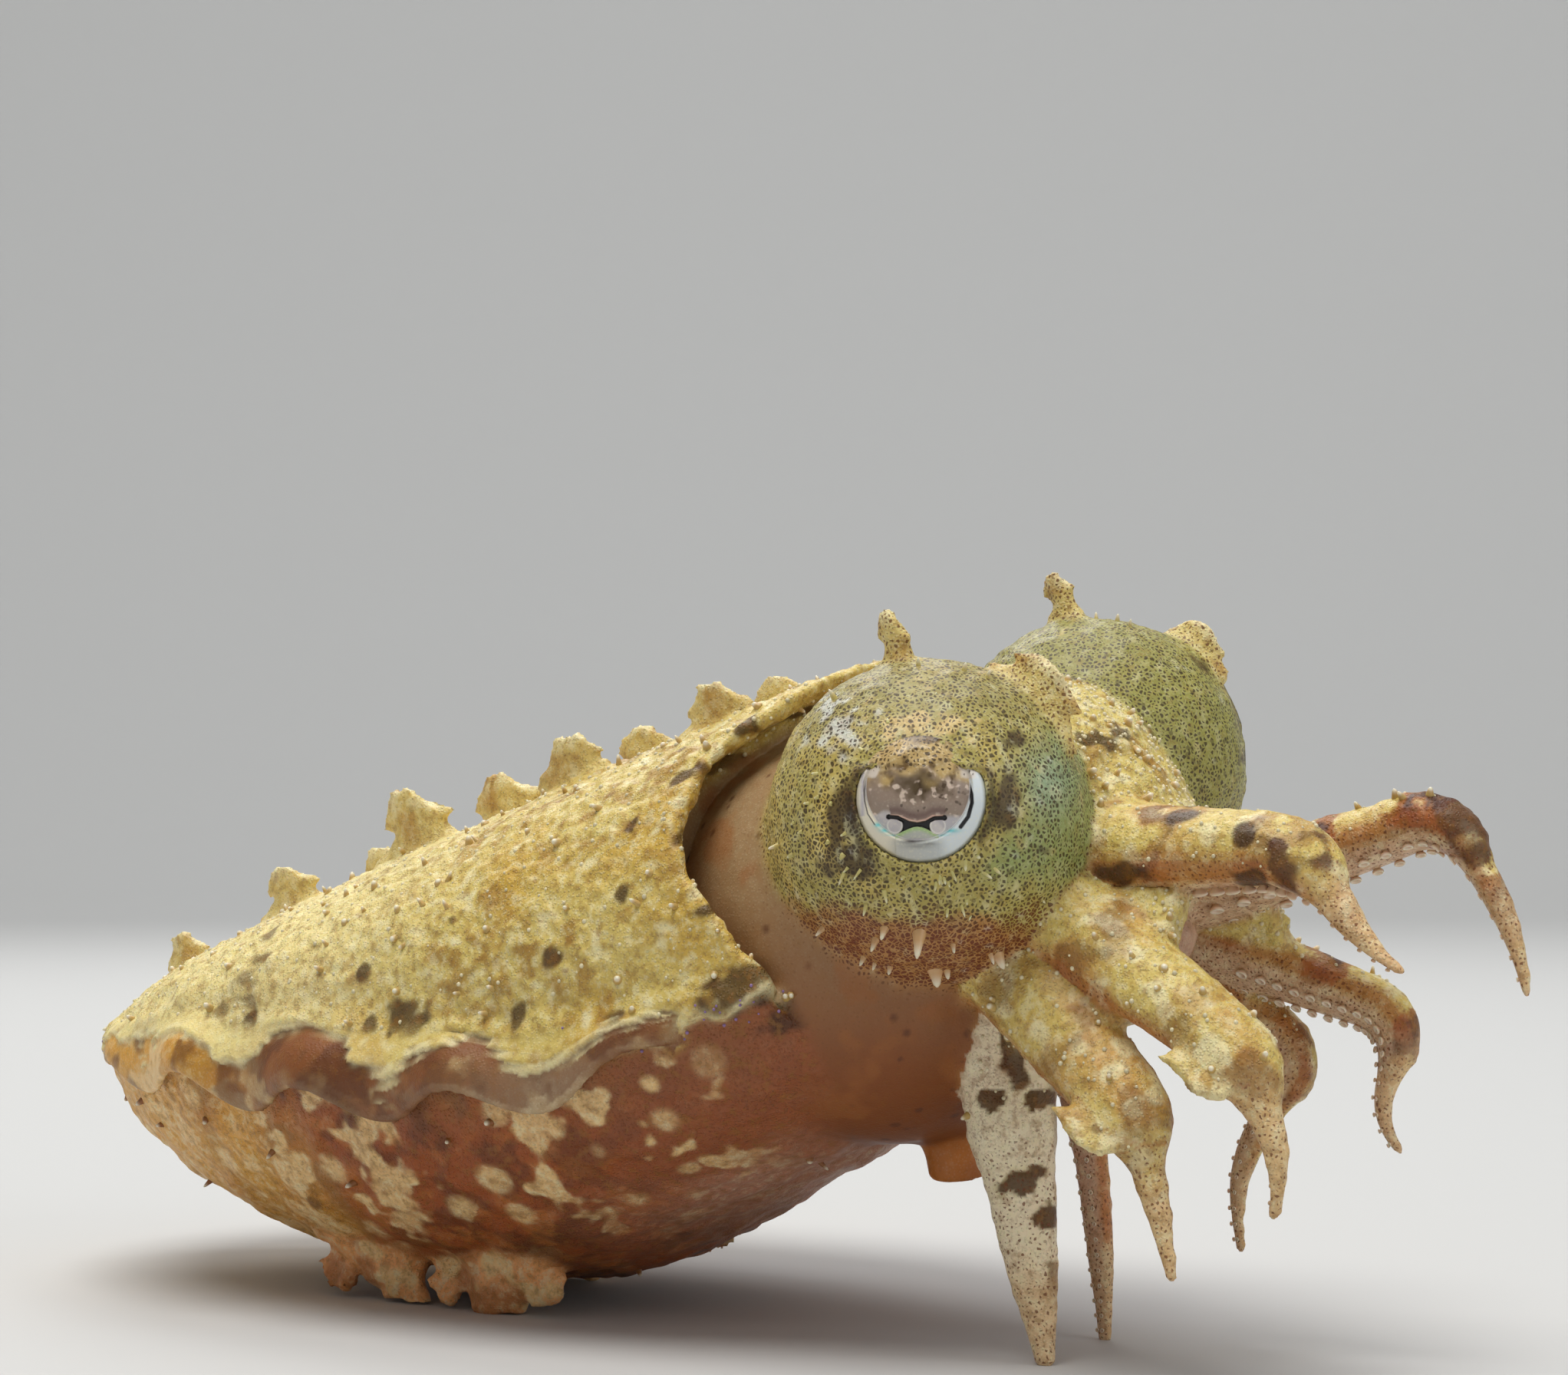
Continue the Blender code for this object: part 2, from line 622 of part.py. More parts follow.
def suckers(arm, start, end):
    """Two rows of cups along the oral side, smaller towards the tip."""
    made = []
    for i in range(SUCKER_PAIRS):
        share = ((i + 0.5) / SUCKER_PAIRS) ** SUCKER_CROWDING
        s = SUCKER_FIRST + (arm["length"] - SUCKER_FIRST) * share
        if not start + SUCKER_END_CLEAR < s < end - SUCKER_END_CLEAR:
            continue
        _, point, side, oral = arm_frames(arm, s, s + 0.01)[0]
        width = arm_width(arm, s)
        surface = point + oral * width / 2 * ARM_DEPTH_SHARE * 0.86
        radius = max(SUCKER_SMALLEST, width * SUCKER_SHARE)
        made += [sucker(surface + side * way * width * SUCKER_ROW, oral, side, radius) for way in (-1, 1)]
    return made


def knee_flap(key, arm):
    """The scalloped flap on the outer side of an arm's knee."""
    width, height = KNEE_FLAPS[key]
    _, point, _, _ = arm_frames(arm, arm["knee"] - 0.9, arm["knee"])[0]
    side = math.copysign(1, arm["root"][1])
    up = np.array((0.35, side * 0.7, -0.55))
    root = point + up * arm["widths"][1] * 0.4
    return flap(root, up, (1, 0, -0.5), width, height, waist=1.0, pose=False)


def web(first, second, reach, grow=0.0):
    """The sheet of skin that joins two neighbouring arms near their roots."""
    one = arm_frames(ARMS[first], -0.6, reach)
    two = arm_frames(ARMS[second], -0.6, reach)
    line, across, widths = [], [], []
    for i in range(WEB_STATIONS):
        a = one[i * (len(one) - 1) // (WEB_STATIONS - 1)][1]
        b = two[i * (len(two) - 1) // (WEB_STATIONS - 1)][1]
        line.append((a + b) / 2)
        widths.append(np.linalg.norm(b - a) / 2)
        across.append((b - a) / np.linalg.norm(b - a))
    ahead = (line[-1] - line[0]) / np.linalg.norm(line[-1] - line[0])
    over = [np.cross(ahead, direction) for direction in across]
    over = [normal / np.linalg.norm(normal) for normal in over]
    return tube("web", line, across, over, widths, [WEB_THICK / 2 + grow] * WEB_STATIONS, WEB_SIDES)


def head_pieces(grow=0.0):
    """The closed forms that the head is fused from, each grown by the same amount."""
    made = [ellipsoid("core", CORE_MID, [r + grow for r in CORE_RADII], 14, 9)]
    made += [ellipsoid("dome", dome_middle(side), [r + grow for r in DOME_RADII], 22, 12) for side in (-1, 1)]
    made.append(face_shape(grow))
    made += [arm_tube("stub", arm, -1.2, arm["start"], grow) for arm in ARMS.values()]
    made += [web(*pair, grow) for pair in WEBS]
    return made


def make_head(look):
    head, *rest = head_pieces()
    for side in (-1, 1):
        rest += [lid(side, 185, 355), lid(side, 5, 175)]
        rest += brow_flaps(side)
    for arm in ARMS.values():
        rest += suckers(arm, SUCKER_FIRST, arm["start"])
    fuse(head, rest)
    head.name = "head"
    carve(head, [eye_ball(-1, GAP), eye_ball(1, GAP), mouth_shape(GAP)])
    return finish(head, look)


def mouth_shape(grow=0.0):
    """The lips, a low mound with a dimple, in the middle of the ring of arms."""
    ahead, side, top = face_axes()
    angles = np.arange(16) * 2 * math.pi / 16
    around = np.outer(np.cos(angles), side) + np.outer(np.sin(angles), top)
    profile = list(LIPS_PROFILE)
    profile[0] = (profile[0][0] - grow, profile[0][1])
    profile[-1] = (profile[-1][0] + grow, profile[-1][1])
    if grow == 0:
        profile.append(LIPS_DIMPLE)
    rings = [FACE_END + ahead * rise + around * (MOUTH_RADIUS * share + grow) for rise, share in profile]
    return make("mouth", *posed_rings(rings))


def make_mantle(look):
    mantle = mantle_body()
    fuse(mantle, back_flaps() + foot_flaps())
    carve(mantle, [neck_shape(NECK_CLEAR), funnel_shape(GAP), floor_cut()] + head_pieces(GAP))
    return finish(mantle, look)


def make_neck(look):
    neck = neck_shape()
    legs = [arm_tube("leg", ARMS[key], 0, ARMS[key]["knee"], GAP) for key in ("r4", "l4")]
    carve(neck, head_pieces(GAP) + legs)
    return finish(neck, look)


def funnel_shape(grow=0.0):
    line = [np.array(p) for p in FUNNEL_LINE]
    rings = []
    angles = np.arange(14) * 2 * math.pi / 14
    for i, (point, radius) in enumerate(zip(line, FUNNEL_RADII)):
        ahead = line[min(i + 1, 2)] - line[max(i - 1, 0)]
        ahead /= np.linalg.norm(ahead)
        fore = np.cross((0, 1.0, 0), ahead)
        end = ahead * grow if i == 2 else 0
        rings.append(point + end + np.outer(np.cos(angles), (0, 1.15, 0)) * (radius + grow)
                     + np.outer(np.sin(angles), fore) * (radius + grow))
    if grow == 0:
        rings.append(line[2] + (rings[2] - line[2]) * FUNNEL_BORE)
        rings.append(line[2] * 0.6 + line[1] * 0.4 + (rings[2] - line[2]) * FUNNEL_BORE)
    return make("funnel", *posed_rings(rings))


def make_funnel(look):
    funnel = funnel_shape()
    carve(funnel, [neck_shape(GAP)] + head_pieces(GAP))
    return finish(funnel, look)


def fin_section(x, side, share):
    """The fin's outline across its length, from its root over its edge and back."""
    reach = FIN_END_REACH + FIN_REACH * math.sqrt(math.sin(math.pi * share))
    wave = math.sin(2 * math.pi * FIN_WAVES * share)
    root = np.array((x, side * (half_width(x) + GAP + 0.05), fin_line(x) + 0.2))
    upper, lower = [], []
    for row in range(FIN_ROWS + 1):
        v = row / FIN_ROWS
        droop = math.radians(FIN_DROOP * (0.5 * wave - v))
        out = np.array((0, side * math.cos(droop), math.sin(droop)))
        face = np.array((0, side * -math.sin(droop), math.cos(droop)))
        middle = root + out * reach * v + np.array((0, 0, FIN_WAVE * wave * v))
        thick = FIN_ROOT_THICK + (FIN_EDGE_THICK - FIN_ROOT_THICK) * v
        upper.append(middle + face * thick / 2)
        lower.append(middle - face * thick / 2)
    return upper + lower[::-1]


def make_fin(name, side, look):
    """A ribbon closed along its edges, both faces split alike."""
    rings = []
    for i in range(FIN_STATIONS):
        share = i / (FIN_STATIONS - 1)
        x = FIN_FRONT + (FIN_REAR - FIN_FRONT) * share
        rings.append(fin_section(x, side, share))
    return finish(make(name, *posed_rings(rings)), look)


def make_arm(key, arm, look):
    """The upper and the lower length of one arm, each with its suckers."""
    middle = arm["knee"] + ARM_SPLIT
    lengths = (("upper", arm["start"] + GAP, middle - GAP / 2), ("lower", middle + GAP / 2, arm["length"]))
    for part, start, end in lengths:
        obj = arm_tube(f"arm_{key}_{part}", arm, start, end, round_end=part == "lower")
        extra = suckers(arm, start, end)
        if part == "upper" and key in KNEE_FLAPS:
            extra.append(knee_flap(key, arm))
        fuse(obj, extra, "MANIFOLD")
        if part == "lower" and key.endswith("4"):
            carve(obj, [floor_cut()], "MANIFOLD")
        finish(obj, look)


def stand_on_origin():
    """Moves every node so that the middle of the model's box stands on the origin."""
    meshes = [o.data for o in bpy.context.scene.objects if o.type == "MESH"]
    points = np.array([v.co for m in meshes for v in m.vertices])
    low, high = points.min(axis=0), points.max(axis=0)
    shift = Matrix.Translation(Vector((-(low[0] + high[0]) / 2, -(low[1] + high[1]) / 2, -low[2])))
    for mesh in meshes:
        mesh.transform(shift)


def main():
    clear_scene()
    yellow = material("mantle_skin", (0.72, 0.55, 0.24), 0.5)
    pale = material("collar_skin", (0.60, 0.36, 0.22), 0.45)
    green = material("head_skin", (0.55, 0.50, 0.22), 0.5)
    silver = material("eye", (0.62, 0.60, 0.55), 0.15)
    banded = material("arm_skin", (0.66, 0.45, 0.25), 0.5)
    veil = material("fin_skin", (0.62, 0.45, 0.28), 0.4)
    make_mantle(yellow)
    make_neck(pale)
    make_head(green)
    make_funnel(pale)
    finish(mouth_shape(), pale)
    for name, side in (("right", -1), ("left", 1)):
        ball = eye_ball(side)
        ball.name = f"eye_{name}"
        finish(ball, silver)
        make_fin(f"fin_{name}", side, veil)
    for key, arm in ARMS.items():
        make_arm(key, arm, banded)
    stand_on_origin()


main()
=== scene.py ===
"""The looks of a young dwarf cuttlefish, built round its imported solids.

Forms are set out in millimetres in the frame of the solids' own source: +X to the front, +Y to the animal's
left and the floor at Z = 0, with the body rolled a little to the right about the middle of the head. They
become metres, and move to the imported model's place, when an object is made.
"""

import json
import math
from types import SimpleNamespace

import bmesh
import bpy
import numpy as np
from mathutils import Matrix, Vector
from mathutils.kdtree import KDTree

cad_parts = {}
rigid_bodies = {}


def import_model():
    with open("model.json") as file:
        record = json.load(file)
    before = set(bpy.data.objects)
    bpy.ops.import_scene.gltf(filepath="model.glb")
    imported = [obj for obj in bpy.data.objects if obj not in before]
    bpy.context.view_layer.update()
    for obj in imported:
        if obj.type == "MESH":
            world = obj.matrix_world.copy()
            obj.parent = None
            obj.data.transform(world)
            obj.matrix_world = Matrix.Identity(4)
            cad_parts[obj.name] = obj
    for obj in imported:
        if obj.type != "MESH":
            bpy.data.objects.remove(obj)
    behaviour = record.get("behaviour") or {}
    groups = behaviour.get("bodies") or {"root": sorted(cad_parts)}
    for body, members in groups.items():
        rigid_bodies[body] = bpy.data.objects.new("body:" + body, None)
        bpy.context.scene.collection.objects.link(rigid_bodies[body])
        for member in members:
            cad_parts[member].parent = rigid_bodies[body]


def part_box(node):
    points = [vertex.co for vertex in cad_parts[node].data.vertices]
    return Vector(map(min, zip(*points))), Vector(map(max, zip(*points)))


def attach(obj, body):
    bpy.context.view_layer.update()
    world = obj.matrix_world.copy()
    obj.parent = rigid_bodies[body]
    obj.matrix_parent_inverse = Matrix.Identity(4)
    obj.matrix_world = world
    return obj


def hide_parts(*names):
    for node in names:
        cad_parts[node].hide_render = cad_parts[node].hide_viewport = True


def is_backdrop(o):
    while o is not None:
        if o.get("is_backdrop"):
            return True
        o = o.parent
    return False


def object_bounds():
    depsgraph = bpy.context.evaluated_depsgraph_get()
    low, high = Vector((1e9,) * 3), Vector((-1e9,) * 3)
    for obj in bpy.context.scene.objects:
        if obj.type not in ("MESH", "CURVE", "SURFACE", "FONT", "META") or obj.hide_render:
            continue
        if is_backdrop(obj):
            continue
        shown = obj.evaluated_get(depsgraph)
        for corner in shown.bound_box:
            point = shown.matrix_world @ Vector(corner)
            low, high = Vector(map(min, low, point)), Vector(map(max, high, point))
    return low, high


MM = 0.001
SEED = 7
ROLL = math.radians(10)
HEAD_MID = np.array((-0.1, 0.0, 14.2))

# Measures of the solids, as their source has them
MANTLE_REAR = -31.9
MANTLE_WIDEST = -13.0
MANTLE_HALF_WIDTH = 9.3
MANTLE_NARROWING = 26.0
SOFTNESS = 1.6
RIM_BACK = -4.3
RIM_SHOULDER = -5.85
RIM_SIDE = -2.6
RIM_BELLY = -1.4
RIM_RAMP = 0.42
BACK_HEIGHT = 17.25
BACK_FALL = 0.335
BACK_ARCH = 0.15
BACK_SQUARENESS = 0.78
BELLY_SQUARENESS = 0.94
BELLY_CLEAR = 0.4
BELLY_FRONT = -12.5
BELLY_BACK = -21.0
BELLY_RISE_FRONT = 0.54
BELLY_RISE_BACK = 0.27
FIN_LINE_HEIGHT = 8.9
FIN_LINE_FRONT = -9.0
FIN_LINE_REAR = -24.0
FIN_LINE_RISE = 0.24
FIN_LINE_FALL = 0.26
WIDTH_POWER = 2.7
HEIGHT_POWER = 7
NECK_MID = np.array((-3.4, 0.0, 11.4))
NECK_HALF_LENGTH = 5.0
NECK_SHARE = 0.86
NECK_ROUND = 0.6
DOME_SIDE = 4.3
DOME_RADII = np.array((4.05, 3.95, 4.05))
CORE_MID = np.array((0.3, 0, 13.6))
CORE_RADII = np.array((3.6, 4.2, 3.5))
FACE_START = np.array((0.0, 0.0, 13.4))
FACE_END = np.array((3.4, 0.0, 10.3))
FACE_PROFILE = ((-0.25, 2.6), (0.1, 3.9), (0.45, 3.8), (0.8, 3.3), (1.0, 2.9))
MOUTH_RADIUS = 1.25
EYE_YAW = math.radians(31)
EYE_PITCH = math.radians(11)
EYE_DEPTH = 1.8
FUNNEL_LINE = np.array(((-2.0, -0.4, 8.4), (-2.1, -1.0, 6.2), (-2.1, -1.3, 4.3)))
FUNNEL_RADII = (1.45, 1.1, 0.8)
FIN_FRONT = -5.4
FIN_REAR = -28.8
FIN_END_REACH = 0.3
FIN_REACH = 1.2
FIN_DROOP = 24
FIN_WAVES = 4.5
FIN_WAVE = 0.3
FIN_HANG = 2.0
BACK_FLAP_ROW = 2.7
# Pairs of flaps on the back: places of the right and the left one, width and height
BACK_FLAPS = ((-7.4, -9.2, 1.8, 1.1), (-12.4, -14.0, 2.0, 1.3), (-18.4, -19.6, 2.3, 1.8),
              (-23.6, -24.6, 1.9, 1.3), (-28.3, -28.8, 1.6, 1.1))
# Lobes under the belly: place forward and to the left, and how far they lean for each unit of height
FOOT_LOBES = ((-14.5, -3.6, 0.1), (-17.8, -3.6, -0.9), (-16.9, 2.8, 0.1), (-19.8, 2.8, -0.7))
FOOT_PROFILE = ((0.0, 0.95), (0.3, 1.0), (1.1, 1.6), (2.0, 2.4), (3.2, 3.2))
FOOT_LENGTH = 1.8
FOOT_WIDTH = 0.9
FOOT_LEAN_IN = 0.04
# Pairs of ragged flaps beside them: place forward, width and height
FOOT_FRINGE = ((-20.4, 1.5, 0.9), (-16.3, 1.3, 1.0), (-13.0, 1.6, 0.8))
# Flaps on the right (-1) and the left dome: direction from its middle, width, height and lean
BROW_FLAPS = {
    -1: ((-0.12, -0.03, 0.98, 0.85, 1.4, 0.15), (0.66, 0.26, 0.66, 2.1, 1.2, 0.5)),
    1: ((-0.18, 0.05, 0.97, 0.85, 1.4, 0.1), (0.55, 0.45, 0.66, 1.7, 1.0, 0.3)),
}
ARMS = {
    "r1": dict(root=(2.6, -1.3, 12.7), length=10.6, start=4.2, knee=6.6, widths=(3.1, 2.1, 1.1, 0.5),
               yaw=-9, pitch=0, sag=0, knee_pitch=-51, tip_pitch=-30, oral=15),
    "l1": dict(root=(2.6, 1.6, 11.4), length=13.3, start=4.2, knee=8.5, widths=(2.7, 1.7, 1.05, 0.5),
               yaw=4, pitch=15, sag=5, knee_pitch=-60, tip_pitch=-78, oral=15),
    "r2": dict(root=(3.0, -3.1, 11.2), length=10.3, start=3.9, knee=6.3, widths=(2.5, 1.9, 0.95, 0.5),
               yaw=-8, pitch=-31, sag=0, knee_pitch=-66, tip_pitch=-104, oral=35),
    "l2": dict(root=(2.9, 3.1, 10.6), length=9.8, start=3.9, knee=6.3, widths=(2.3, 1.55, 0.9, 0.5),
               yaw=9, pitch=-19, sag=0, knee_pitch=-108, tip_pitch=-50, oral=35),
    "r3": dict(root=(1.9, -3.5, 9.7), length=9.1, start=3.5, knee=5.0, widths=(2.5, 2.0, 0.9, 0.45),
               yaw=-12, pitch=-39, sag=0, knee_pitch=-72, tip_pitch=-77, oral=50),
    "l3": dict(root=(1.7, 3.4, 9.8), length=10.2, start=3.3, knee=4.7, widths=(2.3, 1.7, 0.95, 0.45),
               yaw=14, pitch=-28, sag=0, knee_pitch=-122, tip_pitch=-82, oral=50),
    "r4": dict(root=(1.1, -2.5, 9.7), length=9.95, start=2.2, knee=3.6, widths=(2.6, 2.3, 2.0, 0.75),
               yaw=-6, pitch=-88, sag=0, knee_pitch=-80, tip_pitch=-80, oral=65),
    "l4": dict(root=(0.5, 1.6, 9.7), length=9.9, start=2.2, knee=3.6, widths=(2.0, 1.35, 1.0, 0.6),
               yaw=10, pitch=-83, sag=0, knee_pitch=-83, tip_pitch=-88, oral=65),
}
# The webs' two arms, and how far along them each web reaches
WEBS = (("r1", "l1", 2.4), ("r1", "r2", 3.6), ("r2", "r3", 3.3), ("r3", "r4", 2.0),
        ("l1", "l2", 3.6), ("l2", "l3", 3.2), ("l3", "l4", 2.0))
WEB_THICK = 0.7
# Widths and heights
KNEE_FLAPS = {"r2": (2.0, 0.9), "l2": (1.6, 0.7), "r3": (2.3, 1.0), "l3": (1.7, 0.8)}
# How strong the dark bands and the knee's dark patch are, in the order of ARMS
BAND_STRENGTHS = np.array((0.5, 1.0, 0.35, 0.9, 0.3, 0.5, 0.0, 0.4))
KNEE_STRENGTHS = np.array((1, 1, 0.8, 1, 0.6, 0.8, 0, 0.6))
ARM_DEPTH_SHARE = 0.85
ARM_SIDES = 32
SUCKER_PAIRS = 9
SUCKER_FIRST = 2.0
SUCKER_CROWDING = 0.9
SUCKER_SHARE = 0.17
SUCKER_ROW = 0.22

VOXEL = 0.08
CREASE_STEPS = 90
SOCKET_DEPTH = 1.3
LID_RISE = 0.10

# Dark marks of the right flank: place along the body, height over the fin line, half length and half height
BACK_MARKS = (
    (-13.6, 0.9, 1.0, 0.7), (-14.9, 0.7, 0.35, 0.4), (-9.95, 1.0, 0.3, 0.5), (-8.9, 2.4, 0.36, 0.32),
    (-15.3, 2.1, 0.36, 0.32), (-6.9, 3.6, 0.3, 0.28), (-5.4, 4.6, 0.5, 0.3), (-4.2, 2.6, 0.9, 0.22),
    (-19.6, 0.6, 0.4, 0.35), (-7.2, 5.2, 0.25, 0.22), (-6.2, 6.1, 0.5, 0.25), (-5.2, 6.9, 0.3, 0.3),
    (-3.6, 0.4, 1.2, 0.8), (-2.6, -0.6, 0.8, 0.6),
)
# On the near leg: place along it, offset to the right as the photograph shows it, half length and half width
LEG_MARKS = (
    (1.7, -0.1, 1.5, 0.42), (3.2, -0.7, 0.4, 0.45), (3.2, 0.45, 0.3, 0.5), (5.3, -0.25, 0.5, 0.65),
    (6.1, 0.35, 0.45, 0.45), (7.85, 0.4, 0.6, 0.4),
)

# On the near side of the face and the first arm: place forward and up, half length and half height
HEAD_MARKS = (
    (4.6, 12.2, 0.8, 0.3), (6.1, 13.6, 0.5, 0.25), (2.9, 11.4, 0.25, 0.55), (8.0, 13.1, 0.45, 0.4),
    (8.2, 12.0, 0.5, 0.35),
)

# What a point of the skin belongs to
KINDS = range(10)
MANTLE, COLLAR, DOME, FACE, ARM, FIN, FLAP, FOOT, FUNNEL, LIPS = KINDS
# How dense the dots and how rough the grain of each kind are
DOTS_OF_KINDS = np.array((0.12, 0.18, 0.7, 0.12, 0.2, 0.15, 0.2, 0.15, 0.15, 0.2))
GRAIN_OF_KINDS = np.array((1.0, 0.25, 0.45, 1.0, 0.9, 0.5, 0.9, 0.9, 0.3, 0.4))
NEAR_LEG, FAR_LEG = 6, 7  # the numbers of two of the arms, of which the near one is "r4"


# Numbers and noise

def smooth(t):
    t = np.clip(t, 0, 1)
    return t * t * (3 - 2 * t)


def ramp(value, low, high):
    """0 below low, 1 above high and smooth between them."""
    return smooth((np.asarray(value, float) - low) / (high - low))


def bell(value, middle, half):
    """1 where the value is at the middle, falling softly to 0 about half away from it."""
    return np.exp(-((value - middle) / half) ** 2)


HASH = (73856093, 19349663, 83492791, 2654435)  # large numbers that mix a cell's place and the seed
MIXERS = ((13, 1274126177), (15, 668265263))
LARGEST = 0x7FFFFFFF
CELLS_BEFORE = 1000  # keeps the numbers of all cells above zero


def lattice(cells, seed):
    """A fixed random number from 0 to 1 for each cell of whole numbers."""
    mixed = (cells[:, 0] * HASH[0]) ^ (cells[:, 1] * HASH[1]) ^ (cells[:, 2] * HASH[2]) ^ (seed * HASH[3])
    for shift, factor in MIXERS:
        mixed = ((mixed ^ (mixed >> shift)) * factor) & LARGEST
    return (mixed ^ (mixed >> 14)) / LARGEST


CORNERS = [(i, j, k) for i in (0, 1) for j in (0, 1) for k in (0, 1)]


def noise(points, size, seed=0):
    """Smooth random values from -1 to 1, with lumps about size across."""
    turn = np.array(Matrix.Rotation(0.7 + seed, 3, Vector((0.3, 0.5, 0.8))))
    place = points @ turn.T / size + CELLS_BEFORE
    cell = np.floor(place).astype(np.int64)
    part = place - cell
    part = part ** 3 * (part * (part * 6 - 15) + 10)
    total = np.zeros(len(points))
    for corner in CORNERS:
        share = np.ones(len(points))
        for axis in range(3):
            share *= part[:, axis] if corner[axis] else 1 - part[:, axis]
        total += share * lattice(cell + corner, seed)
    return total * 2 - 1


def layers(points, size, count, seed=0):
    """Noise of count sizes, each half as large and half as strong as the last."""
    total = sum(noise(points, size / 2 ** i, seed + i) / 2 ** i for i in range(count))
    return total / 1.5


def nearest_cell(points, size, seed=0):
    """Distance to the nearest of points about size apart, as a share of size, and its random number."""
    place = points / size + CELLS_BEFORE
    cell = np.floor(place).astype(np.int64)
    best, own = np.full(len(points), 9.0), np.zeros(len(points))
    for offset in np.ndindex(3, 3, 3):
        near = cell + np.array(offset) - 1
        spot = near + np.column_stack([lattice(near, seed + i) for i in range(3)])
        away = np.linalg.norm(place - spot, axis=1)
        closer = away < best
        best = np.where(closer, away, best)
        own = np.where(closer, lattice(near, seed + 3), own)
    return best, own


def rolled(points, roll=ROLL):
    """Points of the upright body, rolled to the right about the middle of the head."""
    return (np.asarray(points, float) - HEAD_MID) @ np.array(Matrix.Rotation(roll, 3, "X")).T + HEAD_MID


def unrolled(points):
    return rolled(points, -ROLL)


def unit(vector):
    vector = np.asarray(vector, float)
    return vector / np.linalg.norm(vector)


# The mantle's own measures, for arrays of points

def soft_ramp(distance):
    return (distance + np.hypot(distance, SOFTNESS)) / 2


def end_share(x, power):
    along = np.clip((MANTLE_WIDEST - x) / (MANTLE_WIDEST - MANTLE_REAR), 0, 1)
    return np.sqrt(1 - along ** power)


def half_width(x):
    front = MANTLE_HALF_WIDTH * (1 - ((x - MANTLE_WIDEST) / MANTLE_NARROWING) ** 2)
    return np.where(x > MANTLE_WIDEST, front, MANTLE_HALF_WIDTH * end_share(x, WIDTH_POWER))


def fin_line(x):
    return (FIN_LINE_HEIGHT + FIN_LINE_RISE * soft_ramp(x - FIN_LINE_FRONT)
            - FIN_LINE_FALL * soft_ramp(FIN_LINE_REAR - x))


def over_fins(body):
    """How high points of the upright body lie over the line of the fins."""
    return body[:, 2] - fin_line(body[:, 0])


def back_height(x):
    arch = BACK_ARCH * np.sin(math.pi * np.clip((x - RIM_SHOULDER) / (MANTLE_REAR - RIM_SHOULDER), 0, 1))
    top = BACK_HEIGHT + BACK_FALL * (x - RIM_SHOULDER) + arch
    return fin_line(x) + (top - fin_line(x)) * end_share(x, HEIGHT_POWER)


def belly_height(x):
    low = (BELLY_CLEAR + BELLY_RISE_FRONT * soft_ramp(x - BELLY_FRONT)
           + BELLY_RISE_BACK * soft_ramp(BELLY_BACK - x))
    return fin_line(x) - (fin_line(x) - low) * end_share(x, HEIGHT_POWER)


def mantle_points(x, angle, grow=0.0):
    """Points of the upright mantle: angle 0 is the left fin line, a quarter turn is the back."""
    x, angle = np.broadcast_arrays(np.asarray(x, float), np.asarray(angle, float))
    across, up = np.cos(angle), np.sin(angle)
    height = np.abs(np.where(up > 0, back_height(x), belly_height(x)) - fin_line(x))
    power = np.where(up > 0, BACK_SQUARENESS, BELLY_SQUARENESS)
    y = (half_width(x) + grow) * np.sign(across) * np.abs(across) ** power
    z = (height + grow) * np.sign(up) * np.abs(up) ** power
    return np.stack([x, y, fin_line(x) + z], axis=-1)


def rim_x(angle):
    """How far forward the mantle's edge reaches at each angle round the body."""
    up = np.sin(angle)
    side = RIM_SIDE + (RIM_SHOULDER - RIM_SIDE) * ramp(up, -0.25, RIM_RAMP + 0.2)
    return side + (RIM_BACK - RIM_SHOULDER) * ramp(up, 0.8, 1) + (RIM_BELLY - RIM_SIDE) * ramp(-up, 0, 1) ** 2


def back_normal(x, angle):
    step = 0.05
    along = mantle_points(x + step, angle) - mantle_points(x - step, angle)
    around = mantle_points(x, angle + step) - mantle_points(x, angle - step)
    normal = unit(np.cross(along, around))
    return normal * np.sign(normal @ (mantle_points(x, angle) - (x, 0, fin_line(x))))


# Closed surfaces through rings of points

def ring_quads(count, sides):
    """The quads between rings of points, and the rings' point numbers."""
    grid = np.arange(count * sides).reshape(count, sides)
    turned = np.roll(grid, -1, axis=1)
    return np.stack([grid[:-1], turned[:-1], turned[1:], grid[1:]], axis=-1).reshape(-1, 4).tolist(), grid


def skin_rings(rings):
    """(points, faces) of a closed surface through rings of equal size, each end closed by a fan."""
    rings = np.asarray(rings, float)
    count, sides = rings.shape[:2]
    points = np.vstack([rings.reshape(-1, 3), rings[0].mean(axis=0), rings[-1].mean(axis=0)])
    quads, grid = ring_quads(count, sides)
    first, last = count * sides, count * sides + 1
    ends = [(first, (k + 1) % sides, k) for k in range(sides)]
    ends += [(last, grid[-1, k], grid[-1, (k + 1) % sides]) for k in range(sides)]
    return points, quads + ends


def circle(sides):
    angles = np.arange(sides) * 2 * math.pi / sides
    return np.cos(angles), np.sin(angles)


def ellipsoid(middle, radii, sides=64, count=40):
    """An upright ellipsoid of the body, rolled with it."""
    cosine, sine = circle(sides)
    turns = math.pi * (np.arange(count) + 0.5) / count
    rings = [np.column_stack([np.full(sides, math.cos(t)), math.sin(t) * cosine, math.sin(t) * sine]) * radii
             + middle for t in turns]
    return skin_rings([rolled(r) for r in rings])


def tube(line, across, over, widths, depths, sides=28):
    """A closed tube along line, with its half widths along across and its half depths along over."""
    cosine, sine = circle(sides)
    return skin_rings([p + np.outer(cosine * w, a) + np.outer(sine * d, b)
                       for p, a, b, w, d in zip(line, across, over, widths, depths)])


# The forms of the body

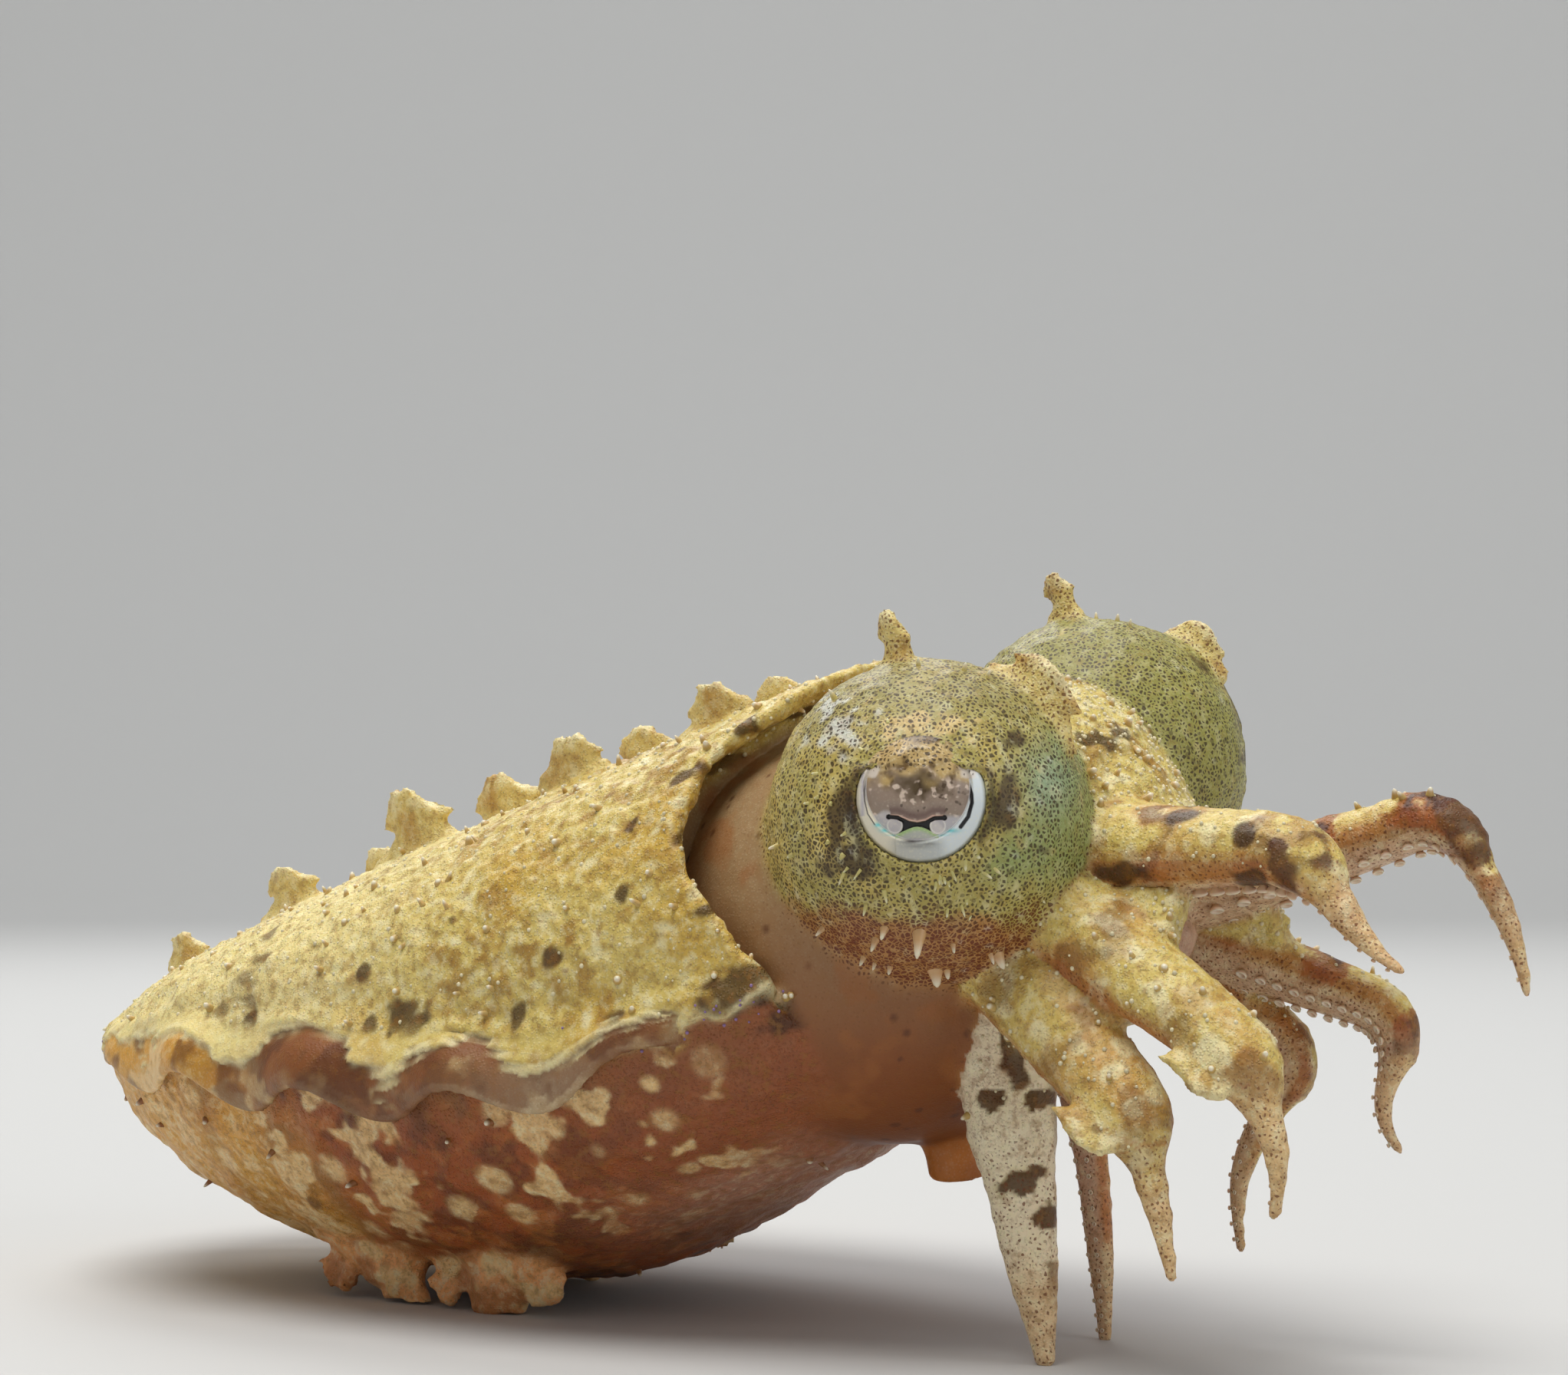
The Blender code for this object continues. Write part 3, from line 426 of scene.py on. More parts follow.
RIM_TURN = ((0.12, 0.1), (0.16, 0.22), (0.1, 0.36), (-0.15, 0.46), (-1.2, 0.62))  # steps ahead and inwards


def mantle_form():
    """The mantle with a thin rim that turns inwards round the collar."""
    angles = np.arange(200) * 2 * math.pi / 200
    front = rim_x(angles)
    rear = MANTLE_REAR + 0.02
    rings = [mantle_points(front + (rear - front) * math.sin(s * math.pi / 2), angles)
             for s in np.linspace(1, 0, 110)]
    for ahead, inset in RIM_TURN:
        rings.append(mantle_points(front + ahead, angles, -inset))
    middle = rings[-1].mean(axis=0) - (1.5, 0, 0)
    rings.append(middle + (rings[-1] - middle) * 0.3)
    return skin_rings([rolled(r) for r in rings])


def collar_form():
    angles = np.arange(120) * 2 * math.pi / 120
    outline = mantle_points(RIM_SHOULDER, angles)[:, 1:] - NECK_MID[1:]
    rings = []
    for turn in np.linspace(-1.5, 1.5, 40):
        size = NECK_SHARE * math.cos(turn) ** NECK_ROUND
        x = np.full(len(angles), NECK_MID[0] + NECK_HALF_LENGTH * math.sin(turn))
        rings.append(rolled(np.column_stack([x, NECK_MID[1:] + outline * size])))
    return skin_rings(rings)


def dome_middle(side):
    return np.array((HEAD_MID[0], side * DOME_SIDE, HEAD_MID[2]))


def eye_frame(side):
    """The eye's middle, its outward axis, the direction to the animal's front and the one to its top."""
    level = math.cos(EYE_PITCH)
    axis = np.array((math.sin(EYE_YAW) * level, side * math.cos(EYE_YAW) * level, math.sin(EYE_PITCH)))
    middle = rolled(dome_middle(side) + axis * EYE_DEPTH)
    axis = rolled(axis) - rolled((0, 0, 0))
    fore = unit(np.cross((0, 0, 1.0), axis)) * -side
    return middle, axis, fore, np.cross(fore, axis) * side


def dome_frame(side):
    """The dome's middle and the directions of its eye: out, to the animal's front and to its top."""
    return rolled(dome_middle(side)), *eye_frame(side)[1:]


def face_axes():
    """The directions from the face to the mouth, to its side and to its top."""
    ahead = unit(FACE_END - FACE_START)
    side = np.array((0, 1.0, 0))
    return ahead, side, np.cross(ahead, side)


def face_form():
    _, side, top = face_axes()
    cosine, sine = circle(60)
    rings = []
    for share in np.linspace(-0.25, 1, 24):
        radius = np.interp(share, *zip(*FACE_PROFILE))
        middle = FACE_START + (FACE_END - FACE_START) * share
        rings.append(rolled(middle + np.outer(cosine, side) * radius + np.outer(sine, top) * radius * 0.95))
    return skin_rings(rings)


def lips_form():
    """A pleated ring of lips, open in the middle."""
    ahead, side, top = face_axes()
    cosine, sine = circle(80)
    pleats = 1 + 0.05 * np.cos(np.arange(80) * 2 * math.pi * 16 / 80)
    around = (np.outer(cosine, side) + np.outer(sine, top)) * pleats[:, None] * MOUTH_RADIUS
    profile = ((-0.6, 0.9), (0.2, 1.0), (0.75, 0.85), (0.95, 0.5), (0.85, 0.35), (0.4, 0.2))
    return skin_rings([rolled(FACE_END + ahead * rise + around * share) for rise, share in profile])


def funnel_form():
    """The funnel's tube, open at its lower end."""
    cosine, sine = circle(40)
    steps = np.linspace(0, 1, 16)
    line = np.column_stack([np.interp(steps, (0, 0.5, 1), FUNNEL_LINE[:, i]) for i in range(3)])
    radii = np.interp(steps, (0, 0.5, 1), FUNNEL_RADII)
    ahead = unit(FUNNEL_LINE[2] - FUNNEL_LINE[0])
    fore = np.cross((0, 1.0, 0), ahead)
    across = np.outer(cosine, (0, 1.15, 0)) + np.outer(sine, fore)
    rings = [p + across * r for p, r in zip(line, radii)]
    rings += [line[-1] + ahead * 0.08 + across * radii[-1] * 0.85, line[-1] + across * radii[-1] * 0.7,
              line[-1] - ahead * 1.2 + across * radii[-1] * 0.6]
    return skin_rings([rolled(r) for r in rings])


FIN_ALONG = np.linspace(0, 1, 220)
FIN_OUT = np.linspace(0, 1, 9)


def fin_form(side):
    """A thin, wavy ribbon along one side of the mantle."""
    rings = []
    for share in FIN_ALONG:
        x = FIN_FRONT + (FIN_REAR - FIN_FRONT) * share
        reach = FIN_END_REACH + FIN_REACH * math.sqrt(math.sin(math.pi * share))
        wave = math.sin(2 * math.pi * FIN_WAVES * share)
        root = np.array((x, side * (float(half_width(x)) - 0.25), float(fin_line(x)) + 0.2))
        upper, lower = [], []
        for v in FIN_OUT:
            droop = math.radians(FIN_DROOP * (0.5 * wave - FIN_HANG * v - 0.4))
            out = np.array((0, side * math.cos(droop), math.sin(droop)))
            face = np.array((0, side * -math.sin(droop), math.cos(droop)))
            middle = root + out * (reach + 0.35) * v + np.array((0, 0, FIN_WAVE * wave * v))
            thick = 0.7 - 0.42 * v
            upper.append(middle + face * thick / 2)
            lower.append(middle - face * thick / 2)
        rings.append(rolled(upper + lower[::-1]))
    return skin_rings(rings)


LEAF_SHARES = np.linspace(-0.35, 1, 22)
PADDLE = ((-0.35, 1.7), (0, 1.4), (0.25, 0.95), (0.45, 0.78), (0.7, 1.12), (0.88, 1.1), (1, 0.6))
LEAF_TOP = ((0.3, 1.12), (0.6, 1.08), (0.8, 0.98), (0.93, 0.74), (1, 0.42))
BROAD = ((-0.35, 1.7), (0, 1.4), *LEAF_TOP)
FRINGE = ((-0.35, 0.7), (0, 0.95), *LEAF_TOP)


def leaf_form(root, up, across, width, height, profile, lobes, seed):
    """A thin flap that stands on root along up. The profile is (share of height, share of width)."""
    up = unit(up)
    across = unit(across - up * (np.asarray(across, float) @ up))
    facing = np.cross(up, across)
    cosine, sine = circle(28)
    phase = np.random.default_rng(seed).uniform(0, 6, 4)
    rings = []
    for share in LEAF_SHARES:
        half = width / 2 * np.interp(share, *zip(*profile))
        edge = 1 + lobes * math.sin(share * 9 + phase[0]) + 0.5 * lobes * math.sin(share * 19 + phase[1])
        half = max(0.12, half * edge)
        lean = 0.1 * math.sin(share * 3 + phase[2]) * height
        ruffle = lobes * np.cos(3.4 * math.pi * cosine + phase[3] * 0.3)
        crown = 1 + max(0.0, share) * (ruffle - 0.3 * cosine ** 4)
        thick = 0.26 - 0.14 * max(0.0, share)
        curl = 0.12 * width * (cosine ** 2 - 0.4) * max(0.0, share)
        rings.append(root + np.outer(height * share * crown, up) + np.outer(cosine * half + lean, across)
                     + np.outer(sine * thick + curl, facing))
    return skin_rings(rings)


def back_flap_forms():
    forms = []
    for i, (right, left, width, height) in enumerate(BACK_FLAPS):
        for x, side in ((right, -1), (left, 1)):
            off = min(BACK_FLAP_ROW, float(half_width(x)) * 0.5)
            angle = math.acos(side * (off / float(half_width(x))) ** (1 / BACK_SQUARENESS))
            up = back_normal(x, angle) + (0.1, 0, 0.3)
            points, faces = leaf_form(mantle_points(x, angle), up, (1, 0, 0), width, height, BROAD, 0.16,
                                      10 * i + side + 1)
            forms.append((rolled(points), faces))
    return forms


def brow_flap_forms(side):
    forms = []
    for i, (forward, left, upward, width, height, lean) in enumerate(BROW_FLAPS[side]):
        normal = np.array((forward, left, upward))
        root = dome_middle(side) + normal * DOME_RADII
        points, faces = leaf_form(root, normal + (lean, 0, 0.5), (1, 0, -forward), width, height,
                                  PADDLE if i == 0 else BROAD, 0.14, 40 + 5 * i + side)
        forms.append((rolled(points), faces))
    return forms


def foot_forms():
    """The lobes that the mantle rests on, with ragged flaps beside them."""
    forms = []
    heights = np.linspace(0.02, FOOT_PROFILE[-1][0], 20)
    share = np.interp(heights, *zip(*FOOT_PROFILE))
    for x, y, lean in FOOT_LOBES:
        line = np.column_stack([x + lean * heights, y * (1 - FOOT_LEAN_IN * heights), heights])
        across, over = [(1, 0, 0)] * len(heights), [(0, 1, 0)] * len(heights)
        forms.append(tube(line, across, over, FOOT_LENGTH / 2 * share, FOOT_WIDTH / 2 * share))
    for i, (x, width, height) in enumerate(FOOT_FRINGE):
        for side in (-1, 1):
            root = np.array((x, side * 3.9 + 0.4, 1.4 + 0.3 * side))
            down = (0, side * 0.4, -0.9)
            forms.append(leaf_form(root, down, (1, 0, 0), width, height, FRINGE, 0.18, 80 + 2 * i + side))
    return forms


# Arms

def of_arms(measure, number):
    """A measure of the arms, such as their length, for points that lie on the arms of these numbers."""
    return np.array([arm[measure] for arm in ARMS.values()])[np.clip(number, 0, len(ARMS) - 1)]


def arm_stations(arm):
    return np.append(np.arange(-1.2, arm["length"] - 0.05, 0.15), arm["length"])


def arm_pitch(arm, s):
    bend = smooth((s - arm["knee"] + 1.1) / 2.2)
    curl = smooth((s - arm["knee"] - 1.4) / (arm["length"] - arm["knee"] - 1.4))
    upper = arm["pitch"] + arm["sag"] * (2 * np.clip(s / arm["knee"], 0, 1) - 1)
    pitch = upper + (arm["knee_pitch"] - upper) * bend
    return np.radians(pitch + (arm["tip_pitch"] - arm["knee_pitch"]) * curl)


def arm_width(arm, s):
    at_root, at_knee, past_knee, at_tip = arm["widths"]
    upper = at_root + (at_knee - at_root) * np.clip(s, 0, None) / arm["knee"]
    narrow = at_knee + (past_knee - at_knee) * smooth((s - arm["knee"]) / 1.6)
    taper = np.clip(s - arm["knee"] - 0.8, 0, None) / (arm["length"] - arm["knee"] - 0.8)
    pointed = 0.6 + 0.4 * smooth((arm["length"] - s) / 2.5)
    return np.where(s < arm["knee"], upper, narrow + (at_tip - past_knee) * taper) * pointed


def arm_frames(arm, stations):
    """At each station along the arm: its point, the directions ahead, to its side and to its suckers."""
    fine = 0.02
    yaw = math.radians(arm["yaw"])
    s = np.arange(0, arm["length"] + fine, fine)
    pitch = arm_pitch(arm, s)
    ahead = np.column_stack([np.cos(pitch) * math.cos(yaw), np.cos(pitch) * math.sin(yaw), np.sin(pitch)])
    track = np.array(arm["root"]) + np.vstack([np.zeros(3), np.cumsum(ahead[:-1] * fine, axis=0)])
    side = np.array((-math.sin(yaw), math.cos(yaw), 0))
    inward = -math.copysign(1, arm["root"][1])
    turn = math.radians(arm["oral"])
    frames = []
    for station in stations:
        i = int(np.clip(round(station / fine), 0, len(s) - 1))
        point = track[i] + ahead[i] * min(0.0, station)
        under = -np.cross(ahead[i], side)
        oral = under * math.cos(turn) + side * inward * math.sin(turn)
        frames.append((point, ahead[i], np.cross(ahead[i], oral), oral))
    return frames


def arm_form(arm):
    """One whole arm from inside the face to its rounded tip, flatter on the side of its suckers."""
    stations = arm_stations(arm)
    cosine, sine = circle(ARM_SIDES)
    squash = np.where(sine > 0, 0.82, 1.0)
    rings = []
    for s, (point, ahead, side, oral) in zip(stations, arm_frames(arm, stations)):
        half = float(arm_width(arm, s)) / 2
        end = arm["length"] - s
        if end < half:
            half *= math.sqrt(max(0.04, 1 - (1 - end / half) ** 2))
        depth = squash * half * ARM_DEPTH_SHARE
        rings.append(point + np.outer(cosine * half, side) + np.outer(sine * depth, oral))
    return skin_rings(rings)


def web_form(first, second, reach):
    """The sheet of skin between two neighbouring arms."""
    stations = np.linspace(-0.6, reach, 16)
    line, across, widths = [], [], []
    for (a, *_), (b, *_) in zip(arm_frames(ARMS[first], stations), arm_frames(ARMS[second], stations)):
        line.append((a + b) / 2)
        widths.append(np.linalg.norm(b - a) / 2)
        across.append(unit(b - a))
    ahead = unit(line[-1] - line[0])
    over = [unit(np.cross(ahead, direction)) for direction in across]
    return tube(line, across, over, widths, [WEB_THICK / 2] * len(line))


def knee_flap_form(key):
    arm = ARMS[key]
    width, height = KNEE_FLAPS[key]
    point, ahead, _, _ = arm_frames(arm, [arm["knee"] - 0.7])[0]
    up = np.array((0.1, math.copysign(1, arm["root"][1]) * 0.7, -0.7))
    root = point + up * arm["widths"][1] * 0.3
    return leaf_form(root, up, ahead, width, height * 1.3, FRINGE, 0.14, 60 + int(key[1]))


def labelled(kind, shape, number=0, along=(0.0,), around=(0.0,)):
    """A form with what it is and, for each of its points, how far along and how far round it lies."""
    points, faces = shape
    count = len(points) - 2
    along = np.repeat(np.asarray(along, float), count // len(along))
    around = np.tile(np.asarray(around, float), count // len(around))
    along = np.append(along, (along[0], along[-1]))
    around = np.append(around, (around[0], around[-1]))
    return dict(kind=kind, number=number, points=points, faces=faces, along=along, around=around)


def all_forms():
    """Every form of the flesh."""
    forms = [labelled(MANTLE, mantle_form()), labelled(COLLAR, collar_form()),
             labelled(FUNNEL, funnel_form()), labelled(FACE, ellipsoid(CORE_MID, CORE_RADII)),
             labelled(FACE, face_form()), labelled(LIPS, lips_form())]
    for side in (-1, 1):
        forms.append(labelled(DOME, ellipsoid(dome_middle(side), DOME_RADII, 90, 60), side))
        forms += [labelled(FLAP, shape, side, LEAF_SHARES) for shape in brow_flap_forms(side)]
        forms.append(labelled(FIN, fin_form(side), side, FIN_ALONG, np.append(FIN_OUT, FIN_OUT[::-1])))
    forms += [labelled(FLAP, shape, 2, LEAF_SHARES) for shape in back_flap_forms()]
    forms += [labelled(FOOT, shape) for shape in foot_forms()]
    for number, arm in enumerate(ARMS.values()):
        forms.append(labelled(ARM, arm_form(arm), number, arm_stations(arm), circle(ARM_SIDES)[1]))
    forms += [labelled(FACE, web_form(*pair)) for pair in WEBS]
    forms += [labelled(FLAP, knee_flap_form(key), 3, LEAF_SHARES) for key in KNEE_FLAPS]
    return forms


# One skin round all forms

def fused(forms):
    """One closed surface round the forms, in millimetres: its points and its quads."""
    points, faces, start = [], [], 0
    for form in forms:
        points.append(form["points"])
        faces += [[int(i) + start for i in face] for face in form["faces"]]
        start += len(form["points"])
    mesh = bpy.data.meshes.new("forms")
    mesh.from_pydata(np.vstack(points).tolist(), [], faces)
    obj = added("forms", mesh)
    remesh = obj.modifiers.new("remesh", "REMESH")
    remesh.mode = "VOXEL"
    remesh.voxel_size = VOXEL * 1
    graph = bpy.context.evaluated_depsgraph_get()
    made = bpy.data.meshes.new_from_object(obj.evaluated_get(graph))
    bpy.data.objects.remove(obj)
    points = np.empty(len(made.vertices) * 3)
    made.vertices.foreach_get("co", points)
    corners = np.empty(len(made.loops), np.int32)
    made.loops.foreach_get("vertex_index", corners)
    bpy.data.meshes.remove(made)
    return largest_piece(points.reshape(-1, 3), corners.reshape(-1, 4))


def edges_of(faces):
    pairs = np.vstack([faces[:, [i, (i + 1) % 4]] for i in range(4)])
    pairs.sort(axis=1)
    keys = np.unique(pairs[:, 0].astype(np.int64) << 32 | pairs[:, 1])
    return np.column_stack([keys >> 32, keys & 0xFFFFFFFF])


def largest_piece(points, faces):
    """The connected piece with the most points."""
    edges = edges_of(faces)
    label = np.arange(len(points))
    while True:
        low = np.minimum(label[edges[:, 0]], label[edges[:, 1]])
        lower = label.copy()
        np.minimum.at(lower, edges[:, 0], low)
        np.minimum.at(lower, edges[:, 1], low)
        lower = lower[lower]
        if (lower == label).all():
            break
        label = lower
    kept = label == np.bincount(label).argmax()
    index = np.cumsum(kept) - 1
    return points[kept], index[faces[kept[faces[:, 0]]]]


def normals_of(points, faces):
    """The outward direction at each point of a closed surface of quads."""
    a, b, c, d = (points[faces[:, i]] for i in range(4))
    normal = np.cross(c - a, d - b)
    total = np.column_stack([
        np.bincount(faces.ravel(), np.repeat(normal[:, i], 4), len(points)) for i in range(3)])
    return total / np.maximum(1e-12, np.linalg.norm(total, axis=1))[:, None]


def averaged(values, edges, steps):
    """Values at the points, each step replaced by the mean of their neighbours and themselves."""
    values = np.array(values, float).reshape(len(values), -1)
    a, b = edges.T
    share = 1 / (1 + np.bincount(a, minlength=len(values)) + np.bincount(b, minlength=len(values)))
    for _ in range(steps):
        values = np.column_stack([
            (v + np.bincount(a, v[b], len(v)) + np.bincount(b, v[a], len(v))) * share for v in values.T])
    return values


def filled_creases(points, faces, edges, steps):
    """The surface with its inner corners filled to soft hollows and its outer ones left as they are."""
    for step in range(steps):
        if step % 6 == 0:
            normal = normals_of(points, faces)
        move = np.sum((averaged(points, edges, 1) - points) * normal, axis=1)
        points = points + normal * np.clip(move, 0, None)[:, None]
    return averaged(points, edges, 1)


def regions(points, forms):
    """For each point of the skin, the form nearest to it: its kind, number, along and around."""
    source = np.vstack([f["points"] for f in forms])
    values = np.vstack([np.column_stack(np.broadcast_arrays(f["kind"], f["number"], f["along"], f["around"]))
                        for f in forms])
    tree = KDTree(len(source))
    for i, point in enumerate(source.tolist()):
        tree.insert(point, i)
    tree.balance()
    return values[[tree.find(point)[1] for point in points.tolist()]]


# Colours

def tint(red, green, blue):
    """A colour as light, from its shares of 255 on a screen."""
    share = np.array((red, green, blue)) / 255
    return np.where(share < 0.04045, share / 12.92, ((share + 0.055) / 1.055) ** 2.4)


def blend(below, above, share):
    share = np.clip(np.asarray(share, float), 0, 1)[..., None]
    return below * (1 - share) + above * share


def painted(colour, *coats):
    """A colour under coats, each a colour and the share in which it covers those below."""
    for coat, share in coats:
        colour = blend(colour, coat, share)
    return colour


CREAM = tint(220, 195, 108)
OCHRE = tint(178, 138, 60)
PALE = tint(242, 229, 176)
UMBER = tint(86, 52, 24)
RUST = tint(160, 80, 28)
MAROON = tint(150, 84, 48)
LILAC = tint(208, 152, 124)
AMBER = tint(236, 176, 70)
OLIVE = tint(176, 162, 86)
TEAL = tint(134, 158, 96)
TAN = tint(222, 186, 138)
BLUSH = tint(212, 172, 146)
BLOTCH = tint(246, 208, 144)
BLACK = tint(38, 24, 14)
DOME_INK = tint(58, 40, 18)


def round_spots(points, spacing, radius, seed, share):
    """Soft round spots of differing size, scattered about spacing apart, on a share of the places."""
    away, own = nearest_cell(points, spacing, seed)
    edge = radius * (0.5 + own) / spacing
    return (1 - ramp(away, edge * 0.7, edge * 1.5)) * (own < share)


def strongest(across, up, spots):
    """The strongest of soft spots, each with its place across and up and its half sizes."""
    return np.maximum.reduce([bell(across, x, wide) * bell(up, y, high) for x, y, wide, high in spots])


def back_colour(points, x, height, grainy):
    """Cream-yellow, grainy and spotted, with painted light that pales it towards the rear."""
    spots = np.maximum(round_spots(points, 2.6, 0.26, 21, 0.25),
                       0.8 * round_spots(points, 1.5, 0.13, 22, 0.5))
    patches = layers(points * (1, 1, 1.5), 2.2, 3, 17) + 0.25 * ramp(1.5 - height, 0, 1)
    return painted(
        CREAM,
        (tint(212, 172, 70), ramp(layers(points, 3.0, 3, 11), -0.1, 0.6)),
        (OCHRE, 0.85 * ramp(grainy + 0.7 * layers(points, 2.2, 3, 15), 0.0, 0.65)),
        (PALE, 0.8 * ramp(-grainy, 0.3, 0.7)),
        # painted light: the back paler towards its rear, where the light falls on it from above and behind
        (tint(255, 238, 168), 0.6 * ramp(-x + noise(points, 2, 18), 11, 19)),
        (tint(78, 48, 22), 0.9 * spots),
        (tint(96, 58, 26), 0.7 * ramp(patches + 0.15 * grainy, 0.56, 0.76)))


def flank_colour(points, x, height):
    """Rust-brown and mottled with pale blotches, amber at the rear and lilac at the front of the belly."""
    soft = 0.15 * noise(points, 0.3, 40)
    pale = np.maximum(ramp(layers(points, 1.5, 3, 33) + soft, 0.28, 0.46),
                      round_spots(points, 1.5, 0.4, 37, 0.75))
    pale *= ramp(-x + noise(points, 2, 38), 3.5, 7) * ramp(5.4 - x * 0.12 + height, 0, 3)
    belly = ramp(x, -12, -6) * ramp(-height + 1.2 * noise(points, 2, 35), 3.2, 5.8)
    return painted(
        RUST,
        (tint(112, 60, 26), ramp(layers(points, 1.8, 3, 31), -0.05, 0.55)),
        (tint(198, 120, 52), 0.6 * ramp(layers(points, 0.8, 3, 32), 0.0, 0.5)),
        (tint(80, 44, 20), 0.5 * ramp(layers(points, 0.7, 3, 42), 0.02, 0.4)),
        (tint(160, 112, 52), 0.6 * ramp(height + fringe(points), -2.2, 0)),
        (AMBER, 0.85 * ramp(-x + 2.5 * noise(points, 2, 34), 18, 23)),
        (MAROON, 0.8 * ramp(x + noise(points, 2, 36), -10, -6)),
        (LILAC, 0.75 * belly),
        (BLOTCH, (0.8 + soft) * pale),
        (UMBER, 0.6 * round_spots(points, 1.7, 0.3, 39, 0.5)))


def mantle_colour(points, body):
    """The back's colours over the flank's, with a pale ragged edge and the dark marks of the right side."""
    x, height = body[:, 0], over_fins(body)
    over = height + fringe(points)
    grainy = 0.6 * noise(points, 0.45, 12) + 0.4 * noise(points, 0.24, 14)
    marks = ramp(strongest(x, height, BACK_MARKS) + 0.35 * grainy, 0.38, 0.72) * (body[:, 1] < 0)
    return painted(
        flank_colour(points, x, height),
        (back_colour(points, x, height, grainy), ramp(over, -0.12, 0.18)),
        (tint(70, 40, 18), 0.85 * marks),
        (PALE, 0.75 * bell(over, 0.12, 0.16)))


def fringe(points):
    """The ragged edge of the back's skin over the flank, as heights in millimetres."""
    return 0.8 * layers(points, 1.9, 3, 5)


def collar_colour(points, body):
    """Pinkish tan on top, orange-brown and darker below."""
    height = body[:, 2] + 0.5 * noise(points, 2, 41)
    return painted(
        tint(114, 60, 26),
        (blend(tint(134, 74, 30), tint(166, 134, 94), ramp(height, 7.5, 14.5)), ramp(height, 2, 7)),
        (tint(160, 96, 44), 0.5 * ramp(layers(points, 1.2, 3, 43), 0.15, 0.5)),
        (tint(92, 48, 24), 0.75 * round_spots(points, 0.7, 0.11, 44, 0.7)))


DOME_REACH = 4.0
PHOTO_RIGHT = np.array((0.82, 0.57, 0))  # the direction to the right in the photograph


def dome_places(points, side):
    """How far forward and up the points lie over the dome, seen along its eye's axis, from -1 to 1."""
    middle, _, fore, top = dome_frame(side)
    out = (points - middle) / DOME_REACH
    return out @ fore, out @ top


# Spots on the domes: place forward and up and half sizes, the dark ones with a strength as well
SIDE_SHINE = ((0.74, 0.2, 0.14, 0.22),)
RIDGE = ((-0.02, 0.52, 0.34, 0.09),)
# Painted highlights: pale glints of the light on the dome's upper rear
PAINTED_GLINTS = ((-0.5, 0.5, 0.2, 0.16), (-0.58, 0.72, 0.13, 0.1))
STREAKS = ((0, 0.1, 0.9, 0.9),)
DOTTED = ((-0.5, -0.2, 0.3, 0.3),)
DARK_PATCHES = (
    ((-0.5, 0.05, 0.12, 0.24), 1), ((-0.42, -0.3, 0.24, 0.14), 1), ((0.5, 0.05, 0.08, 0.24), 0.9),
    ((0.55, 0.48, 0.1, 0.12), 0.8), ((0.66, -0.2, 0.16, 0.06), 0.75), ((-0.5, 0.36, 0.1, 0.08), 0.7),
)


def dome_colour(points, side):
    """Olive, greener to the front and rust below, with dark patches and painted white highlights round the
    eye.
    """
    fore, top = dome_places(points, side)
    ragged = layers(points, 0.9, 3, 53)
    green = ramp(fore + 0.3 * noise(points, 1, 52), 0.3, 0.75) * ramp(0.62 - np.abs(top - 0.05), 0, 0.3)
    colour = painted(
        OLIVE,
        (tint(206, 182, 98), ramp(layers(points, 1.2, 3, 51) - 0.5 * fore, -0.2, 0.7)),
        (tint(150, 140, 84), 0.7 * ramp(top + 0.2 * ragged, 0.35, 0.8)),
        (TEAL, (0.7 if side < 0 else 0.25) * green))
    if side < 0:
        colour = blend(colour, tint(150, 182, 166), 0.5 * strongest(fore, top, SIDE_SHINE))
    else:
        colour = blend(colour, tint(150, 148, 68), 0.55)
    dark = np.maximum.reduce([strength * strongest(fore, top, (spot,)) for spot, strength in DARK_PATCHES])
    streaks = ramp(noise(points * (1, 1, 0.35), 0.2, 56), 0.45, 0.65) * strongest(fore, top, STREAKS)
    ridge = strongest(fore, top, RIDGE) + 0.7 * noise(points, 0.3, 58)
    # painted highlight: pale glints of the light on the upper rear of the dome
    white = strongest(fore, top, PAINTED_GLINTS) + 0.7 * noise(points, 0.25, 55)
    return painted(
        colour,
        (tint(176, 126, 70), ramp(-top + 0.2 * ragged - 0.15 * fore, 0.55, 0.75)),
        (tint(228, 196, 132), 0.75 * ramp(ridge, 0.4, 0.9)),
        (tint(64, 42, 26), 0.85 * ramp(dark + 0.4 * ragged + 0.2 * noise(points, 0.25, 54), 0.4, 0.75)),
        (tint(216, 218, 212), 0.8 * ramp(white, 0.4, 1.0)),
        (tint(226, 222, 176), 0.55 * streaks))


def face_colour(points):
    streaks = layers(points * (1, 1, 1.6), 1.4, 3, 62) + 0.2 * noise(points, 0.3, 65)
    return painted(
        tint(220, 198, 112),
        (OCHRE, ramp(layers(points, 1.3, 3, 61), 0.05, 0.65)),
        (PALE, 0.8 * ramp(noise(points, 0.4, 63) + 0.4 * noise(points, 0.2, 64), 0.3, 0.6)),
        (tint(56, 36, 18), 0.8 * ramp(streaks, 0.46, 0.6)))


